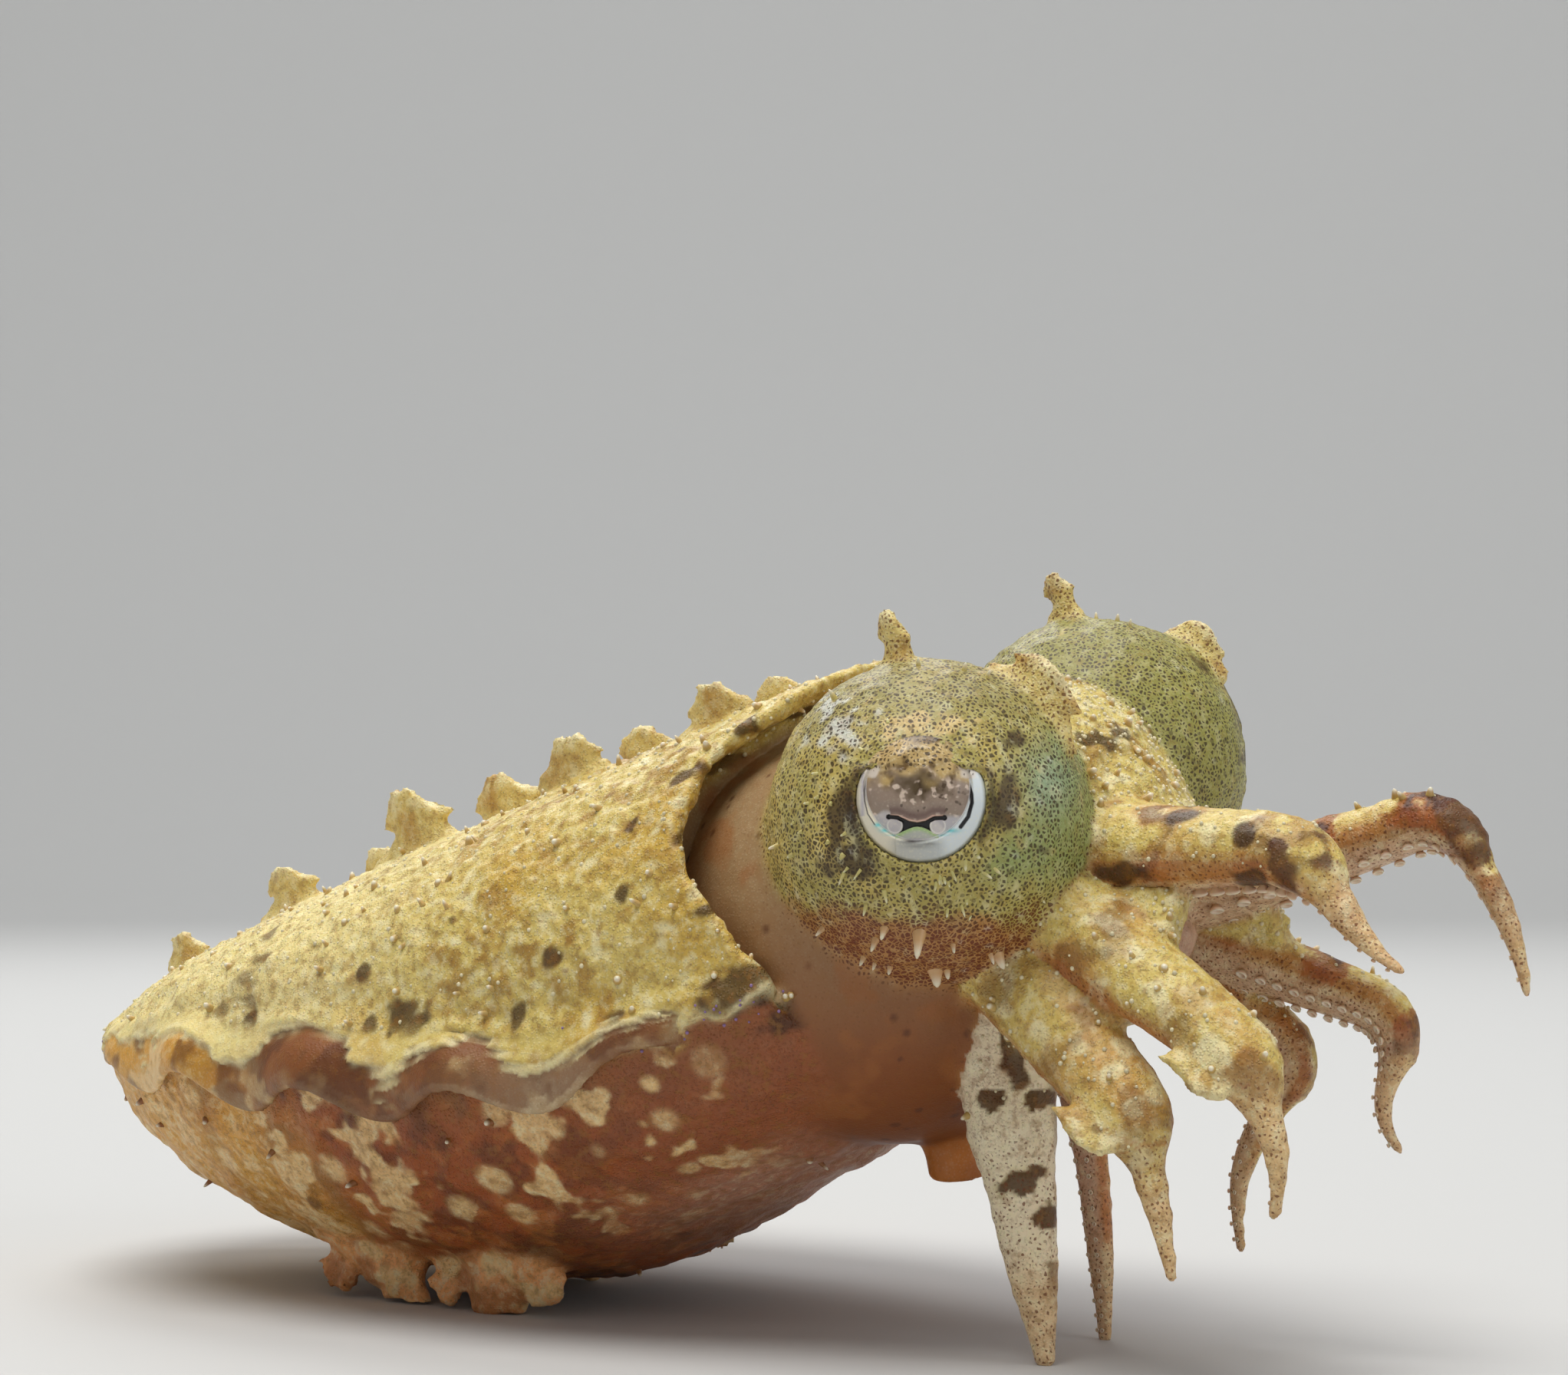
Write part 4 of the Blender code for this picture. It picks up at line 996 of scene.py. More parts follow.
def arm_colour(points, along, around, number):
    """Cream with dark brown bands and blotches over the outer side, plain tan towards the tips."""
    wander = layers(points, 1.3, 3, 71)
    ragged = 0.35 * noise(points, 0.4, 74)
    bands = np.sin(along * 2.3 + number * 1.7 + 2.6 * wander) + ragged
    strong = BAND_STRENGTHS[number]
    at_knee = bell(along, of_arms("knee", number) + 0.6, 1.1) * KNEE_STRENGTHS[number]
    offset = (points - ARMS["r4"]["root"]) @ PHOTO_RIGHT - 0.1 * along
    dark = np.maximum(0.8 * ramp(offset + 0.2 * ragged, 0.5, 0.9),
                      ramp(strongest(along, offset, LEG_MARKS) + 0.8 * ragged, 0.4, 0.6))
    tip = ramp(along - of_arms("length", number) + 0.5 * wander, -3.4, -2.0)
    return painted(
        CREAM,
        (tint(208, 164, 88), ramp(wander, -0.2, 0.6)),
        (PALE, 0.75 * ramp(noise(points, 0.5, 73) + ragged, 0.25, 0.6)),
        (tint(160, 98, 36), strong * ramp(bands, 0.1, 0.5) * ramp(-around, -0.9, -0.2)),
        (tint(78, 42, 20), strong * ramp(bands + 0.5 * wander, 0.75, 0.95) * ramp(-around, -0.8, 0)),
        (tint(176, 96, 52), 0.7 * ramp(around, -0.5, 0.1) * (1 - ramp(around, 0.4, 0.8))),
        (tint(84, 44, 22), 0.9 * ramp(at_knee + 0.9 * layers(points, 0.9, 2, 72), 0.8, 1.0)),
        (tint(76, 38, 18), 0.9 * dark * (number == NEAR_LEG)),
        (tint(198, 126, 74), 0.7 * (number == FAR_LEG)),
        (tint(252, 238, 208), 0.85 * (number == NEAR_LEG) * (1 - dark)),
        (TAN, 0.85 * tip),
        (BLUSH, 0.8 * ramp(around, 0.4, 0.8) * (1 - 0.5 * tip)))


def flap_colour(points, along, number):
    return painted(
        tint(226, 202, 124),
        (tint(200, 160, 82), ramp(noise(points, 0.8, 81), 0, 0.8)),
        (PALE, 0.75 * ramp(along + 0.2 * noise(points, 0.4, 82), 0.7, 0.95)),
        (UMBER, 0.6 * ramp(noise(points, 0.6, 83), 0.5, 0.65) * (number == 3)))


def fin_cover(points, around):
    """Above 0 where the back's skin covers the fin's root."""
    return 0.42 + 0.75 * fringe(points) - around


def fin_colour(points, body, around):
    """Yellow like the back at its root, with a ragged edge, then brown and mottled, greyer at its arch."""
    arch = bell(body[:, 0], -9, 2.0)
    edge = ramp(around + 0.12 * noise(points, 0.6, 93), 0.86, 0.98)
    over = fin_cover(points, around)
    return painted(
        mantle_colour(points, body - (0, 0, 3)),
        (tint(118, 82, 46), 0.6 * ramp(body[:, 0], -22, -18)),
        (tint(166, 140, 108), 0.6 * arch * ramp(around + 0.2 * noise(points, 0.7, 91), 0.3, 0.6)),
        (tint(104, 58, 28), 0.7 * ramp(layers(points, 1.0, 3, 92), 0.05, 0.35)),
        (tint(214, 190, 150), (0.1 + 0.5 * arch) * edge),
        (mantle_colour(points, body + (0, 0, 3)), ramp(over, -0.04, 0.06)),
        (PALE, 0.7 * bell(over, 0.02, 0.07)))


def foot_colour(points):
    colour = blend(tint(250, 178, 112), tint(204, 136, 82), ramp(layers(points, 1.2, 3, 95), -0.1, 0.5))
    return blend(colour, BLOTCH, 0.85 * ramp(layers(points, 0.9, 3, 96), 0.05, 0.3))


def eye_places(points, side):
    """How far forward, up and out of the eye's middle the points lie, in millimetres."""
    middle, axis, fore, top = eye_frame(side)
    out = points - middle
    return out @ fore, out @ top, out @ axis


EYE_OPENING = (-0.04, 0.354, 1.54, 1.51)  # middle and half sizes of the eye's outline
EYE_TOP = 1.2


def opening_reach(fore, top):
    """0 at the middle of the eye's opening and 1 at its edge."""
    middle_fore, middle_top, half_fore, half_top = EYE_OPENING
    oval = np.hypot((fore - middle_fore) / half_fore, (top - middle_top) / half_top)
    flat = 1 + (top - EYE_TOP - 0.25 * np.cos((fore + 0.05) * 1.1) + 0.25) / 1.2
    return np.maximum(oval, flat)


def skin_relief(at):
    """How far each point of the flesh stands out, in millimetres."""
    away, _ = nearest_cell(at.points, 0.42, 103)
    bumps = np.clip(0.55 - away, 0, 1) * 2
    coarse, fine = at.coarse, at.fine
    over = over_fins(at.body) + fringe(at.points)
    back = 0.06 * coarse + 0.07 * bumps + 0.05 * fine
    ledge = 0.26 * ramp(over, -0.08, 0.12) * (1 - ramp(over, 0.2, 1.2))
    relief = {
        MANTLE: np.where(at.upper > 0.5, back, 0.14 * coarse + 0.04 * fine) + ledge,
        COLLAR: 0.02 * coarse,
        DOME: 0.03 * fine + 0.02 * coarse + 0.035 * bumps,
        FACE: 0.10 * coarse + 0.09 * bumps,
        ARM: (0.05 * coarse + 0.05 * bumps) * np.clip(0.9 - at.around, 0, 1),
        FLAP: 0.03 * coarse + 0.03 * fine,
        FOOT: 0.16 * coarse + 0.08 * fine,
        FIN: 0.12 * ramp(fin_cover(at.points, at.around), -0.03, 0.06),
    }
    return sum(at.on[kind] * height for kind, height in relief.items())


def skin_paint(at):
    """The colour of each point, mixed where kinds of flesh meet."""
    points, body, along, around = at.points, at.body, at.along, at.around
    paints = {
        MANTLE: lambda i: mantle_colour(points[i], body[i]),
        COLLAR: lambda i: collar_colour(points[i], body[i]),
        DOME: lambda i: np.where(body[i, 1:2] < 0, dome_colour(points[i], -1), dome_colour(points[i], 1)),
        FACE: lambda i: face_colour(points[i]),
        ARM: lambda i: arm_colour(points[i], along[i], around[i], np.clip(at.number[i], 0, 7)),
        FIN: lambda i: fin_colour(points[i], body[i], around[i]),
        FLAP: lambda i: flap_colour(points[i], along[i], at.number[i]),
        FOOT: lambda i: foot_colour(points[i]),
        FUNNEL: lambda i: blend(tint(208, 128, 54), tint(168, 98, 44), 0.5 + at.coarse[i]),
        LIPS: lambda i: blend(BLUSH, UMBER, 0.3 + 0.3 * at.coarse[i]),
    }
    colour = np.zeros((len(points), 3))
    for kind, paint in paints.items():
        here = np.flatnonzero(at.on[kind] > 0.003)
        colour[here] += at.on[kind][here, None] * paint(here)
    dark = ramp(strongest(points[:, 0], points[:, 2], HEAD_MARKS) + 0.3 * at.fine, 0.35, 0.65)
    return blend(colour, tint(58, 32, 14), 0.88 * dark * (points[:, 1] < -1.2) * (1 - at.on[DOME]))


def skin_dots(at):
    """How dense the chromatophore dots are at each point, and their colour."""
    fore, top = dome_places(at.points, -1)
    low_dome = ramp(-top + 0.15 * at.coarse, 0.5, 0.7) * at.on[DOME]
    dense = at.weights @ DOTS_OF_KINDS
    dense += 0.25 * at.on[DOME] * strongest(fore, top, DOTTED) * (at.points[:, 1] < 0) + 0.35 * low_dome
    dense += 0.3 * at.on[FLAP] * (np.abs(at.number) == 1)
    dense += 0.16 * at.on[ARM] * np.maximum(ramp(at.around, -0.5, 0.1),
                                            ramp(at.along - of_arms("knee", at.number), 0, 1.5))
    return dense, painted(tint(112, 68, 30), (DOME_INK, at.on[DOME]), (tint(118, 64, 30), at.on[ARM]),
                          (tint(104, 38, 22), low_dome))


def eye_sockets(at, colour):
    """Hollow the skin out behind each eye and raise its lid a little; darken the lid's corners, and paint
    shade inside the hollow.
    """
    for side in (-1, 1):
        fore, top, out = eye_places(at.points, side)
        reach = opening_reach(fore, top)
        facing = (out > 0.5) & (out < 3.2)
        lip = bell(reach, 1.1, 0.09) * facing
        hollow = SOCKET_DEPTH * (1 - ramp(reach, 0.93, 1.02)) * facing
        at.points = at.points + np.outer(LID_RISE * lip - hollow, eye_frame(side)[1])
        corner = ramp(np.abs(fore) + 0.4 * noise(at.points, 0.5, 57), 1.2, 1.45) * (np.abs(top - 0.3) < 1.1)
        # the lid darkened at its corners, and black painted shade inside the hollow behind the eye
        colour = painted(colour, (BLACK, 0.8 * lip * corner), (BLACK, (1 - ramp(reach, 0.9, 0.97)) * facing))
    return colour


def make_skin(forms):
    """The whole flesh as one closed surface, and what is known about each of its points."""
    points, faces = fused(forms)
    edges = edges_of(faces)
    points = filled_creases(points, faces, edges, CREASE_STEPS)
    kind, number, along, around = regions(points, forms).T
    weights = averaged(kind[:, None] == np.array(KINDS), edges, 12)
    body = unrolled(points)
    at = SimpleNamespace(
        points=points, body=body, number=number.astype(int), along=along, around=around, weights=weights,
        on=weights.T, upper=ramp(over_fins(body) + fringe(points), -0.2, 0.3),
        coarse=layers(points, 1.3, 3, 101), fine=noise(points, 0.42, 102))
    at.points = points + normals_of(points, faces) * skin_relief(at)[:, None]
    colour = skin_paint(at)
    dense, ink = skin_dots(at)
    colour = eye_sockets(at, colour)
    skin = make("skin", at.points, faces, skin_material("flesh", 0.48, 0.1, 0.1))
    set_colours(skin, paint=colour, ink=ink)
    set_values(skin, chroma=dense, grain=weights @ GRAIN_OF_KINDS)
    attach(skin, "root")
    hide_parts(*FLESH)
    at.normals = normals_of(at.points, faces)
    return skin, at


FLESH = ["mantle", "neck", "head", "funnel", "mouth", "fin_right", "fin_left"]
FLESH += [f"arm_{key}_{part}" for key in ARMS for part in ("upper", "lower")]


# Objects and their attributes

SHIFT = np.zeros(3)  # from the design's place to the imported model's, in metres, as main() sets it


def added(name, data):
    """A new object in the scene with this mesh, lamp or camera."""
    obj = bpy.data.objects.new(name, data)
    bpy.context.scene.collection.objects.link(obj)
    return obj


def make(name, points, faces, look):
    """An object at the origin from points in the design's millimetres."""
    mesh = bpy.data.meshes.new(name)
    placed = np.asarray(points, float) * MM + SHIFT
    faces = np.asarray(faces)
    size = faces.shape[1]
    mesh.vertices.add(len(placed))
    mesh.vertices.foreach_set("co", placed.ravel())
    mesh.loops.add(faces.size)
    mesh.loops.foreach_set("vertex_index", faces.ravel().astype(np.int32))
    mesh.polygons.add(len(faces))
    mesh.polygons.foreach_set("loop_start", np.arange(0, faces.size, size, dtype=np.int32))
    mesh.update(calc_edges=True)
    mesh.materials.append(look)
    mesh.shade_smooth()
    return added(name, mesh)


def set_colours(obj, **named):
    for name, colour in named.items():
        layer = obj.data.color_attributes.new(name, "FLOAT_COLOR", "POINT")
        layer.data.foreach_set("color", np.column_stack([colour, np.ones(len(colour))]).ravel())


def set_values(obj, **named):
    for name, values in named.items():
        layer = obj.data.attributes.new(name, "FLOAT", "POINT")
        layer.data.foreach_set("value", np.asarray(values, float))


# Materials

def node(tree, kind, **values):
    """A shader node with its settings; values for its sockets are given by their names with _ for spaces."""
    made = tree.nodes.new(kind)
    for name, value in values.items():
        if hasattr(made, name):
            setattr(made, name, value)
        else:
            made.inputs[name.replace("_", " ")].default_value = value
    return made


def principled(name, roughness, coat, subsurface):
    look = bpy.data.materials.new(name)
    look.use_nodes = True
    shader = look.node_tree.nodes["Principled BSDF"]
    for socket, value in (("Roughness", roughness), ("Metallic", 0), ("Coat Weight", coat),
                          ("Coat Roughness", 0.15), ("Specular IOR Level", 0.35),
                          ("Subsurface Weight", subsurface), ("Subsurface Scale", 0.25 * MM)):
        shader.inputs[socket].default_value = value
    return look, look.node_tree, shader


def mixed(tree, factor, first, second):
    """A mix of two colours, each a socket or a colour's values."""
    mix = tree.nodes.new("ShaderNodeMix")
    mix.data_type = "RGBA"
    plug(tree, mix.inputs[0], factor)
    plug(tree, mix.inputs[6], first)
    plug(tree, mix.inputs[7], second)
    return mix.outputs[2]


def plug(tree, socket, value):
    if isinstance(value, bpy.types.NodeSocket):
        tree.links.new(value, socket)
    elif hasattr(socket.default_value, "__len__"):
        socket.default_value = (*value, 1)[:len(socket.default_value)]
    else:
        socket.default_value = value


def calculated(tree, operation, first, second=0.0):
    made = tree.nodes.new("ShaderNodeMath")
    made.operation = operation
    plug(tree, made.inputs[0], first)
    plug(tree, made.inputs[1], second)
    return made.outputs[0]


def plus(tree, first, second):
    return calculated(tree, "ADD", first, second)


def minus(tree, first, second):
    return calculated(tree, "SUBTRACT", first, second)


def times(tree, first, *others):
    for other in others:
        first = calculated(tree, "MULTIPLY", first, other)
    return first


def stepped(tree, value, low, high, start=0.0, end=1.0):
    """A smooth step from start at low to end at high."""
    made = tree.nodes.new("ShaderNodeMapRange")
    made.interpolation_type = "SMOOTHSTEP"
    plug(tree, made.inputs["Value"], value)
    plug(tree, made.inputs["From Min"], low)
    plug(tree, made.inputs["From Max"], high)
    made.inputs["To Min"].default_value = start
    made.inputs["To Max"].default_value = end
    return made.outputs[0]


def named(tree, name, output="Fac"):
    """What the mesh carries under this name: a number, or a colour with output Color."""
    return node(tree, "ShaderNodeAttribute", attribute_name=name).outputs[output]


def noisy(tree, place, size, detail, roughness=0.5):
    made = node(tree, "ShaderNodeTexNoise", Scale=1 / size, Detail=detail, Roughness=roughness)
    tree.links.new(place, made.inputs["Vector"])
    return made.outputs


def wandering_place(tree, size, amount):
    """Object coordinates, shifted by noise of the given size in metres."""
    place = tree.nodes.new("ShaderNodeTexCoord").outputs["Object"]
    centred = node(tree, "ShaderNodeVectorMath", operation="MULTIPLY_ADD")
    tree.links.new(noisy(tree, place, size, 2.0)["Color"], centred.inputs[0])
    centred.inputs[1].default_value = (amount,) * 3
    tree.links.new(place, centred.inputs[2])
    return centred.outputs[0]


def cells(tree, place, size, spread=1.0, feature="F1"):
    """Distances within scattered cells of the given size."""
    made = node(tree, "ShaderNodeTexVoronoi", feature=feature, Scale=1 / size, Randomness=spread)
    tree.links.new(place, made.inputs["Vector"])
    return made.outputs["Distance"]


def bumped(tree, shader, height, distance, strength):
    bump = node(tree, "ShaderNodeBump", Distance=distance)
    plug(tree, bump.inputs["Strength"], strength)
    tree.links.new(height, bump.inputs["Height"])
    tree.links.new(bump.outputs[0], shader.inputs["Normal"])


def skin_material(name, roughness, coat, subsurface):
    """Painted skin with fine chromatophore dots, pale flecks and a grainy surface."""
    look, tree, shader = principled(name, roughness, coat, subsurface)
    place = wandering_place(tree, 0.5 * MM, 0.09 * MM)
    paint, ink = named(tree, "paint", "Color"), named(tree, "ink", "Color")
    chroma, grain = named(tree, "chroma"), named(tree, "grain")
    bright = tree.nodes.new("ShaderNodeRGBToBW")
    tree.links.new(paint, bright.inputs[0])
    pale = stepped(tree, bright.outputs[0], 0.08, 0.5)

    speck = stepped(tree, cells(tree, place, 0.085 * MM), 0.1, 0.5)
    colour = mixed(tree, times(tree, pale, minus(tree, 1.0, speck), 0.2), paint, (0.9, 0.85, 0.6))
    mottle = noisy(tree, place, 0.3 * MM, 5.0, 0.62)["Fac"]
    darker = times(tree, grain, stepped(tree, mottle, 0.5, 0.66, 0.0, 0.5))
    lighter = times(tree, grain, stepped(tree, mottle, 0.36, 0.5, 0.45, 0.0), pale)
    colour = mixed(tree, darker, colour, tint(150, 102, 40))
    colour = mixed(tree, lighter, colour, tint(246, 236, 190))

    shown = stepped(tree, chroma, 0.05, 0.4)
    walls = cells(tree, place, 0.12 * MM, 0.9, "DISTANCE_TO_EDGE")
    wall = minus(tree, 0.33, times(tree, chroma, plus(tree, 0.12, times(tree, mottle, 0.28))))
    small_dot = stepped(tree, walls, wall, plus(tree, wall, 0.1))
    colour = mixed(tree, times(tree, small_dot, 0.85, shown), colour, ink)
    reach = times(tree, chroma, 0.26)
    dot = stepped(tree, cells(tree, place, 0.3 * MM, 0.85), reach, plus(tree, reach, 0.1), 0.5, 0.0)
    colour = mixed(tree, times(tree, dot, shown), colour, ink)
    tree.links.new(colour, shader.inputs["Base Color"])

    rough = noisy(tree, place, 0.16 * MM, 4.0)["Fac"]
    height = plus(tree, rough, times(tree, speck, -0.5))
    bumped(tree, shader, height, 0.05 * MM, times(tree, grain, 0.9))
    return look


def painted_material(name, roughness, coat, subsurface=0.0):
    """A finish that shows the paint of its mesh, with a finely dimpled surface."""
    look, tree, shader = principled(name, roughness, coat, subsurface)
    place = wandering_place(tree, 0.3 * MM, 0.05 * MM)
    tree.links.new(named(tree, "paint", "Color"), shader.inputs["Base Color"])
    bumped(tree, shader, cells(tree, place, 0.05 * MM), 0.01 * MM, 0.25)
    return look


# Eyes

def polyline_distance(u, v, line):
    """How far each point lies from a line of straight lengths."""
    best = np.full(len(u), 99.0)
    for (ax, ay), (bx, by) in zip(line, line[1:]):
        dx, dy = bx - ax, by - ay
        t = np.clip(((u - ax) * dx + (v - ay) * dy) / (dx * dx + dy * dy), 0, 1)
        best = np.minimum(best, np.hypot(u - ax - t * dx, v - ay - t * dy))
    return best


EYE_SIDES = 420
EYE_ROWS = 150
EYE_DISC = (-0.12, 0.61, 1.25)  # middle and radius of the disc round the iris
EYE_SCALE = 0.00256  # millimetres for one unit of the outlines below, which start from the disc's middle
PUPIL_TOP = ((-270, -266), (-185, -266), (-130, -285), (-75, -310), (0, -323), (75, -308), (140, -272),
             (250, -272))
PUPIL_LOW = ((-190, -430), (-145, -408), (-85, -382), (-40, -366), (0, -361), (40, -366), (85, -382),
             (130, -405), (185, -430))
PUPIL_ARMS = (((-272, -268), (-185, -278), (-110, -318)), ((250, -280), (160, -284), (95, -318)))
PUPIL_LOBES = ((-212, -354, 74), (188, -358, 74))
# Painted shade: a dark crescent in the groove beyond the right edge of the disc
GROOVE_SHADE_LINE = ((470, 40), (500, -60), (505, -140), (470, -270), (400, -365))
LEFT_LINE = ((-470, 110), (-500, -20), (-495, -120), (-465, -240), (-400, -340))
# Place across and up and half sizes, the smudges with a strength as well
LID_SMUDGES = ((-60, -500, 80, 20, 0.95), (20, -490, 50, 12, 0.7), (110, -522, 60, 14, 0.5),
               (0, -545, 130, 22, 0.4))
BLUE_GLOWS = ((-300, -395, 55, 22), (-370, -345, 36, 24), (310, -400, 80, 20), (-180, -440, 90, 9),
              (190, -440, 90, 9))


def eye_plan():
    """Places over an eye, in millimetres and in its outlines' units, and the shares of its parts at each."""
    e = SimpleNamespace()
    cosine, sine = circle(EYE_SIDES)
    share = np.linspace(0.004, 1.13, EYE_ROWS)
    e.u = (EYE_OPENING[0] + np.outer(share, cosine) * EYE_OPENING[2]).ravel()
    e.v = (EYE_OPENING[1] + np.outer(share, sine) * EYE_OPENING[3]).ravel()
    e.out = np.repeat(share, EYE_SIDES)
    e.flat = np.column_stack([e.u, e.v, np.zeros(len(e.u))])
    e.disc = np.hypot(e.u - EYE_DISC[0], e.v - EYE_DISC[1]) / EYE_DISC[2]
    e.a, e.b = (e.u - EYE_DISC[0]) / EYE_SCALE, (e.v - EYE_DISC[1]) / EYE_SCALE

    e.below = np.interp(e.a, *zip(*PUPIL_TOP)) - e.b
    e.above = e.b - np.interp(e.a, *zip(*PUPIL_LOW))
    e.lobe = np.minimum.reduce([np.hypot(e.a - x, e.b - y) - r for x, y, r in PUPIL_LOBES])
    slot = ramp(e.below, 0, 6) * ramp(e.above, -6, 6) * ramp(e.lobe, 0, 6) * (np.abs(e.a + 8) < 165)
    arms = np.minimum.reduce([polyline_distance(e.a, e.b, line) for line in PUPIL_ARMS])
    knobs = np.minimum(np.hypot(e.a + 268, e.b + 270), np.hypot(e.a - 250, e.b + 280))
    e.black = np.maximum.reduce([slot, 1 - ramp(arms, 14, 21), 1 - ramp(knobs, 20, 27)])
    e.lid_bump = ramp(-e.above, -4, 6) * (np.abs(e.a + 5) < 200) * ramp(e.lobe, 0, 8)
    e.rim = bell(e.below, -9, 8) * (np.abs(e.a + 8) < 250) * (1 - e.black)
    e.lobe_edge = bell(e.lobe, -6, 7) * ramp(-e.b, 300, 330) * (1 - e.black)
    return e


def eye_height(e):
    """How far the eye stands out: a bulge with a sunken pupil, a raised lid and a turned-in edge."""
    height = 2.24 - 0.19 * (e.u * e.u + (e.v - 0.3) ** 2)
    height += 0.10 * ramp(-e.below, -4, 150) * (1 - ramp(e.disc, 0.75, 1.0))
    height -= 0.10 * e.black
    crescent = ramp(e.disc, 1.0, 1.05) * (1 - ramp(e.out, 0.95, 1.03))
    height += 0.12 * crescent * ramp(1.3 - e.v, 0, 0.5)
    height += 0.02 * e.rim + 0.02 * e.lobe_edge + 0.03 * e.lid_bump
    height -= 0.05 * bell(e.disc, 1.03, 0.02) * ramp(1.0 - e.v, 0, 0.3)
    height += 0.04 * layers(e.flat, 0.4, 2, 61) * ramp(e.v, 0.6, 1.0)
    return height - 0.9 * ramp(e.out, 1.0, 1.13)


def lid_tan(e):
    return blend(tint(196, 166, 108), tint(112, 88, 52), ramp(layers(e.flat, 0.3, 3, 7), -0.1, 0.5))


def iris_colour(e):
    """Greyish brown with pale and dark flecks, paler below the pupil and like the lid at the top."""
    middle = 1 - np.hypot((e.a - 10) / 400, (e.b - 60) / 330)
    lower = blend(tint(188, 182, 184), tint(208, 200, 196), ramp(noise(e.flat, 0.2, 9), -0.2, 0.5))
    pupil_top = (e.below < 4) * (np.abs(e.a) < 250)
    return painted(
        tint(156, 136, 120),
        (tint(90, 74, 52), ramp(middle + 0.5 * layers(e.flat, 0.35, 3, 3), 0.1, 0.75)),
        (tint(226, 204, 186), 0.8 * ramp(layers(e.flat, 0.14, 2, 4), 0.25, 0.55)),
        (tint(70, 52, 34), 0.75 * ramp(layers(e.flat, 0.13, 2, 6) - 0.2 * (e.disc > 0.7), 0.3, 0.55)),
        (tint(112, 84, 78), 0.8 * bell(e.below, -55, 38) * (np.abs(e.a) < 260)),
        (lower, ramp(-e.b + 40 * noise(e.flat, 0.3, 12), 225, 275) * (1 - pupil_top)),
        (lid_tan(e), ramp(e.v + 0.35 * noise(e.flat, 0.3, 8), 0.6, 1.2)))


def white_colour(e):
    """The pale crescent round the disc."""
    return painted(
        tint(230, 222, 200),
        (tint(222, 230, 232), ramp(e.u, -0.6, 0.7)),
        (tint(176, 180, 178), 0.7 * ramp(-e.b, 440, 520) * (1 - ramp(np.abs(e.a), 150, 320))),
        *((tint(58, 52, 50), strength * strongest(e.a, e.b, (spot,))) for *spot, strength in LID_SMUDGES),
        (tint(156, 152, 178), 0.6 * bell(e.a, -515, 22) * (e.b > -260)))


def eye_colour(e):
    green = blend(tint(168, 196, 130), tint(186, 188, 178), ramp(-e.above, 12, 60))
    outside = ramp(e.disc, 0.995, 1.005)
    corners = np.minimum(np.hypot(e.a + 420, e.b - 190), np.hypot(e.a - 460, e.b - 150))
    edge = bell(e.disc, 0.995, 0.009) * ramp(1.0 - e.v, 0, 0.25) * (1 - e.black) * ramp(e.lobe, -1, 2)
    glows = [strongest(e.a, e.b, (spot,)) * ramp(e.disc, 0.97, 1.0) for spot in BLUE_GLOWS]
    return painted(
        iris_colour(e),
        (white_colour(e), ramp(e.disc, 0.995, 1.01)),
        (green, e.lid_bump * (e.b > -470)),
        *((tint(92, 198, 202), 0.9 * glow) for glow in glows),
        (tint(232, 190, 172), 0.9 * e.rim),
        (tint(240, 234, 226), 0.8 * e.lobe_edge),
        (tint(8, 6, 10), e.black),
        (tint(244, 240, 240), 0.9 * edge),
        # painted shade in the groove beyond the disc's right edge
        (tint(14, 10, 14), (1 - ramp(polyline_distance(e.a, e.b, GROOVE_SHADE_LINE), 14, 24)) * outside),
        (tint(40, 34, 48), 0.85 * (1 - ramp(polyline_distance(e.a, e.b, LEFT_LINE), 3, 9)) * outside),
        (tint(228, 216, 204), 0.8 * (1 - ramp(corners + 40 * noise(e.flat, 0.15, 14), 50, 110))),
        (lid_tan(e), ramp(e.v + 0.1 * noise(e.flat, 0.25, 15), 1.1, 1.3)))


def make_eye(side, name):
    """One eye: a wavy pupil in a speckled iris, on a bulge and over a pale lower lid."""
    middle, axis, fore, top = eye_frame(side)
    e = eye_plan()
    front = middle + np.outer(e.u, fore) + np.outer(e.v, top) + np.outer(eye_height(e), axis)
    ring = front[-EYE_SIDES:]
    back = [middle + (ring - middle) * s - axis * d for s, d in ((1.0, 0.5), (0.8, 1.2), (0.4, 1.8))]
    points, faces = skin_rings(np.vstack([front.reshape(EYE_ROWS, EYE_SIDES, 3), np.array(back)]))
    if side < 0:
        faces = [face[::-1] for face in faces]
    eye = make(name, points, triangles(faces), skin_material(name, 0.28, 0.25, 0.0))
    last = len(front) - 1
    source = np.concatenate([np.arange(len(front)), np.full(len(back) * EYE_SIDES, last), [0, last]])
    skin_like = ramp(e.v + 0.15 * noise(e.flat, 0.3, 8), 0.85, 1.25)[source]
    set_colours(eye, paint=eye_colour(e)[source], ink=np.tile(DOME_INK, (len(source), 1)))
    set_values(eye, chroma=0.66 * skin_like, grain=0.3 * skin_like)
    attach(eye, "root")
    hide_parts("eye_right" if side < 0 else "eye_left")


# Small raised pieces: pointed papillae, pearly granules and suckers

def triangles(faces):
    """Faces with three or four corners, cut into triangles."""
    made = []
    for face in faces:
        made += [face[:3]] if len(face) == 3 else [face[:3], (face[0], *face[2:])]
    return np.array(made)


def joined(name, shapes, colours, look, slot):
    """One object of many closed shapes, each with colours for its points."""
    points, faces, start = [], [], 0
    for shape_points, shape_faces in shapes:
        points.append(shape_points)
        faces.append(triangles(shape_faces) + start)
        start += len(shape_points)
    piece = make(name, np.vstack(points), np.vstack(faces), look)
    set_colours(piece, paint=np.vstack(colours))
    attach(piece, "root")


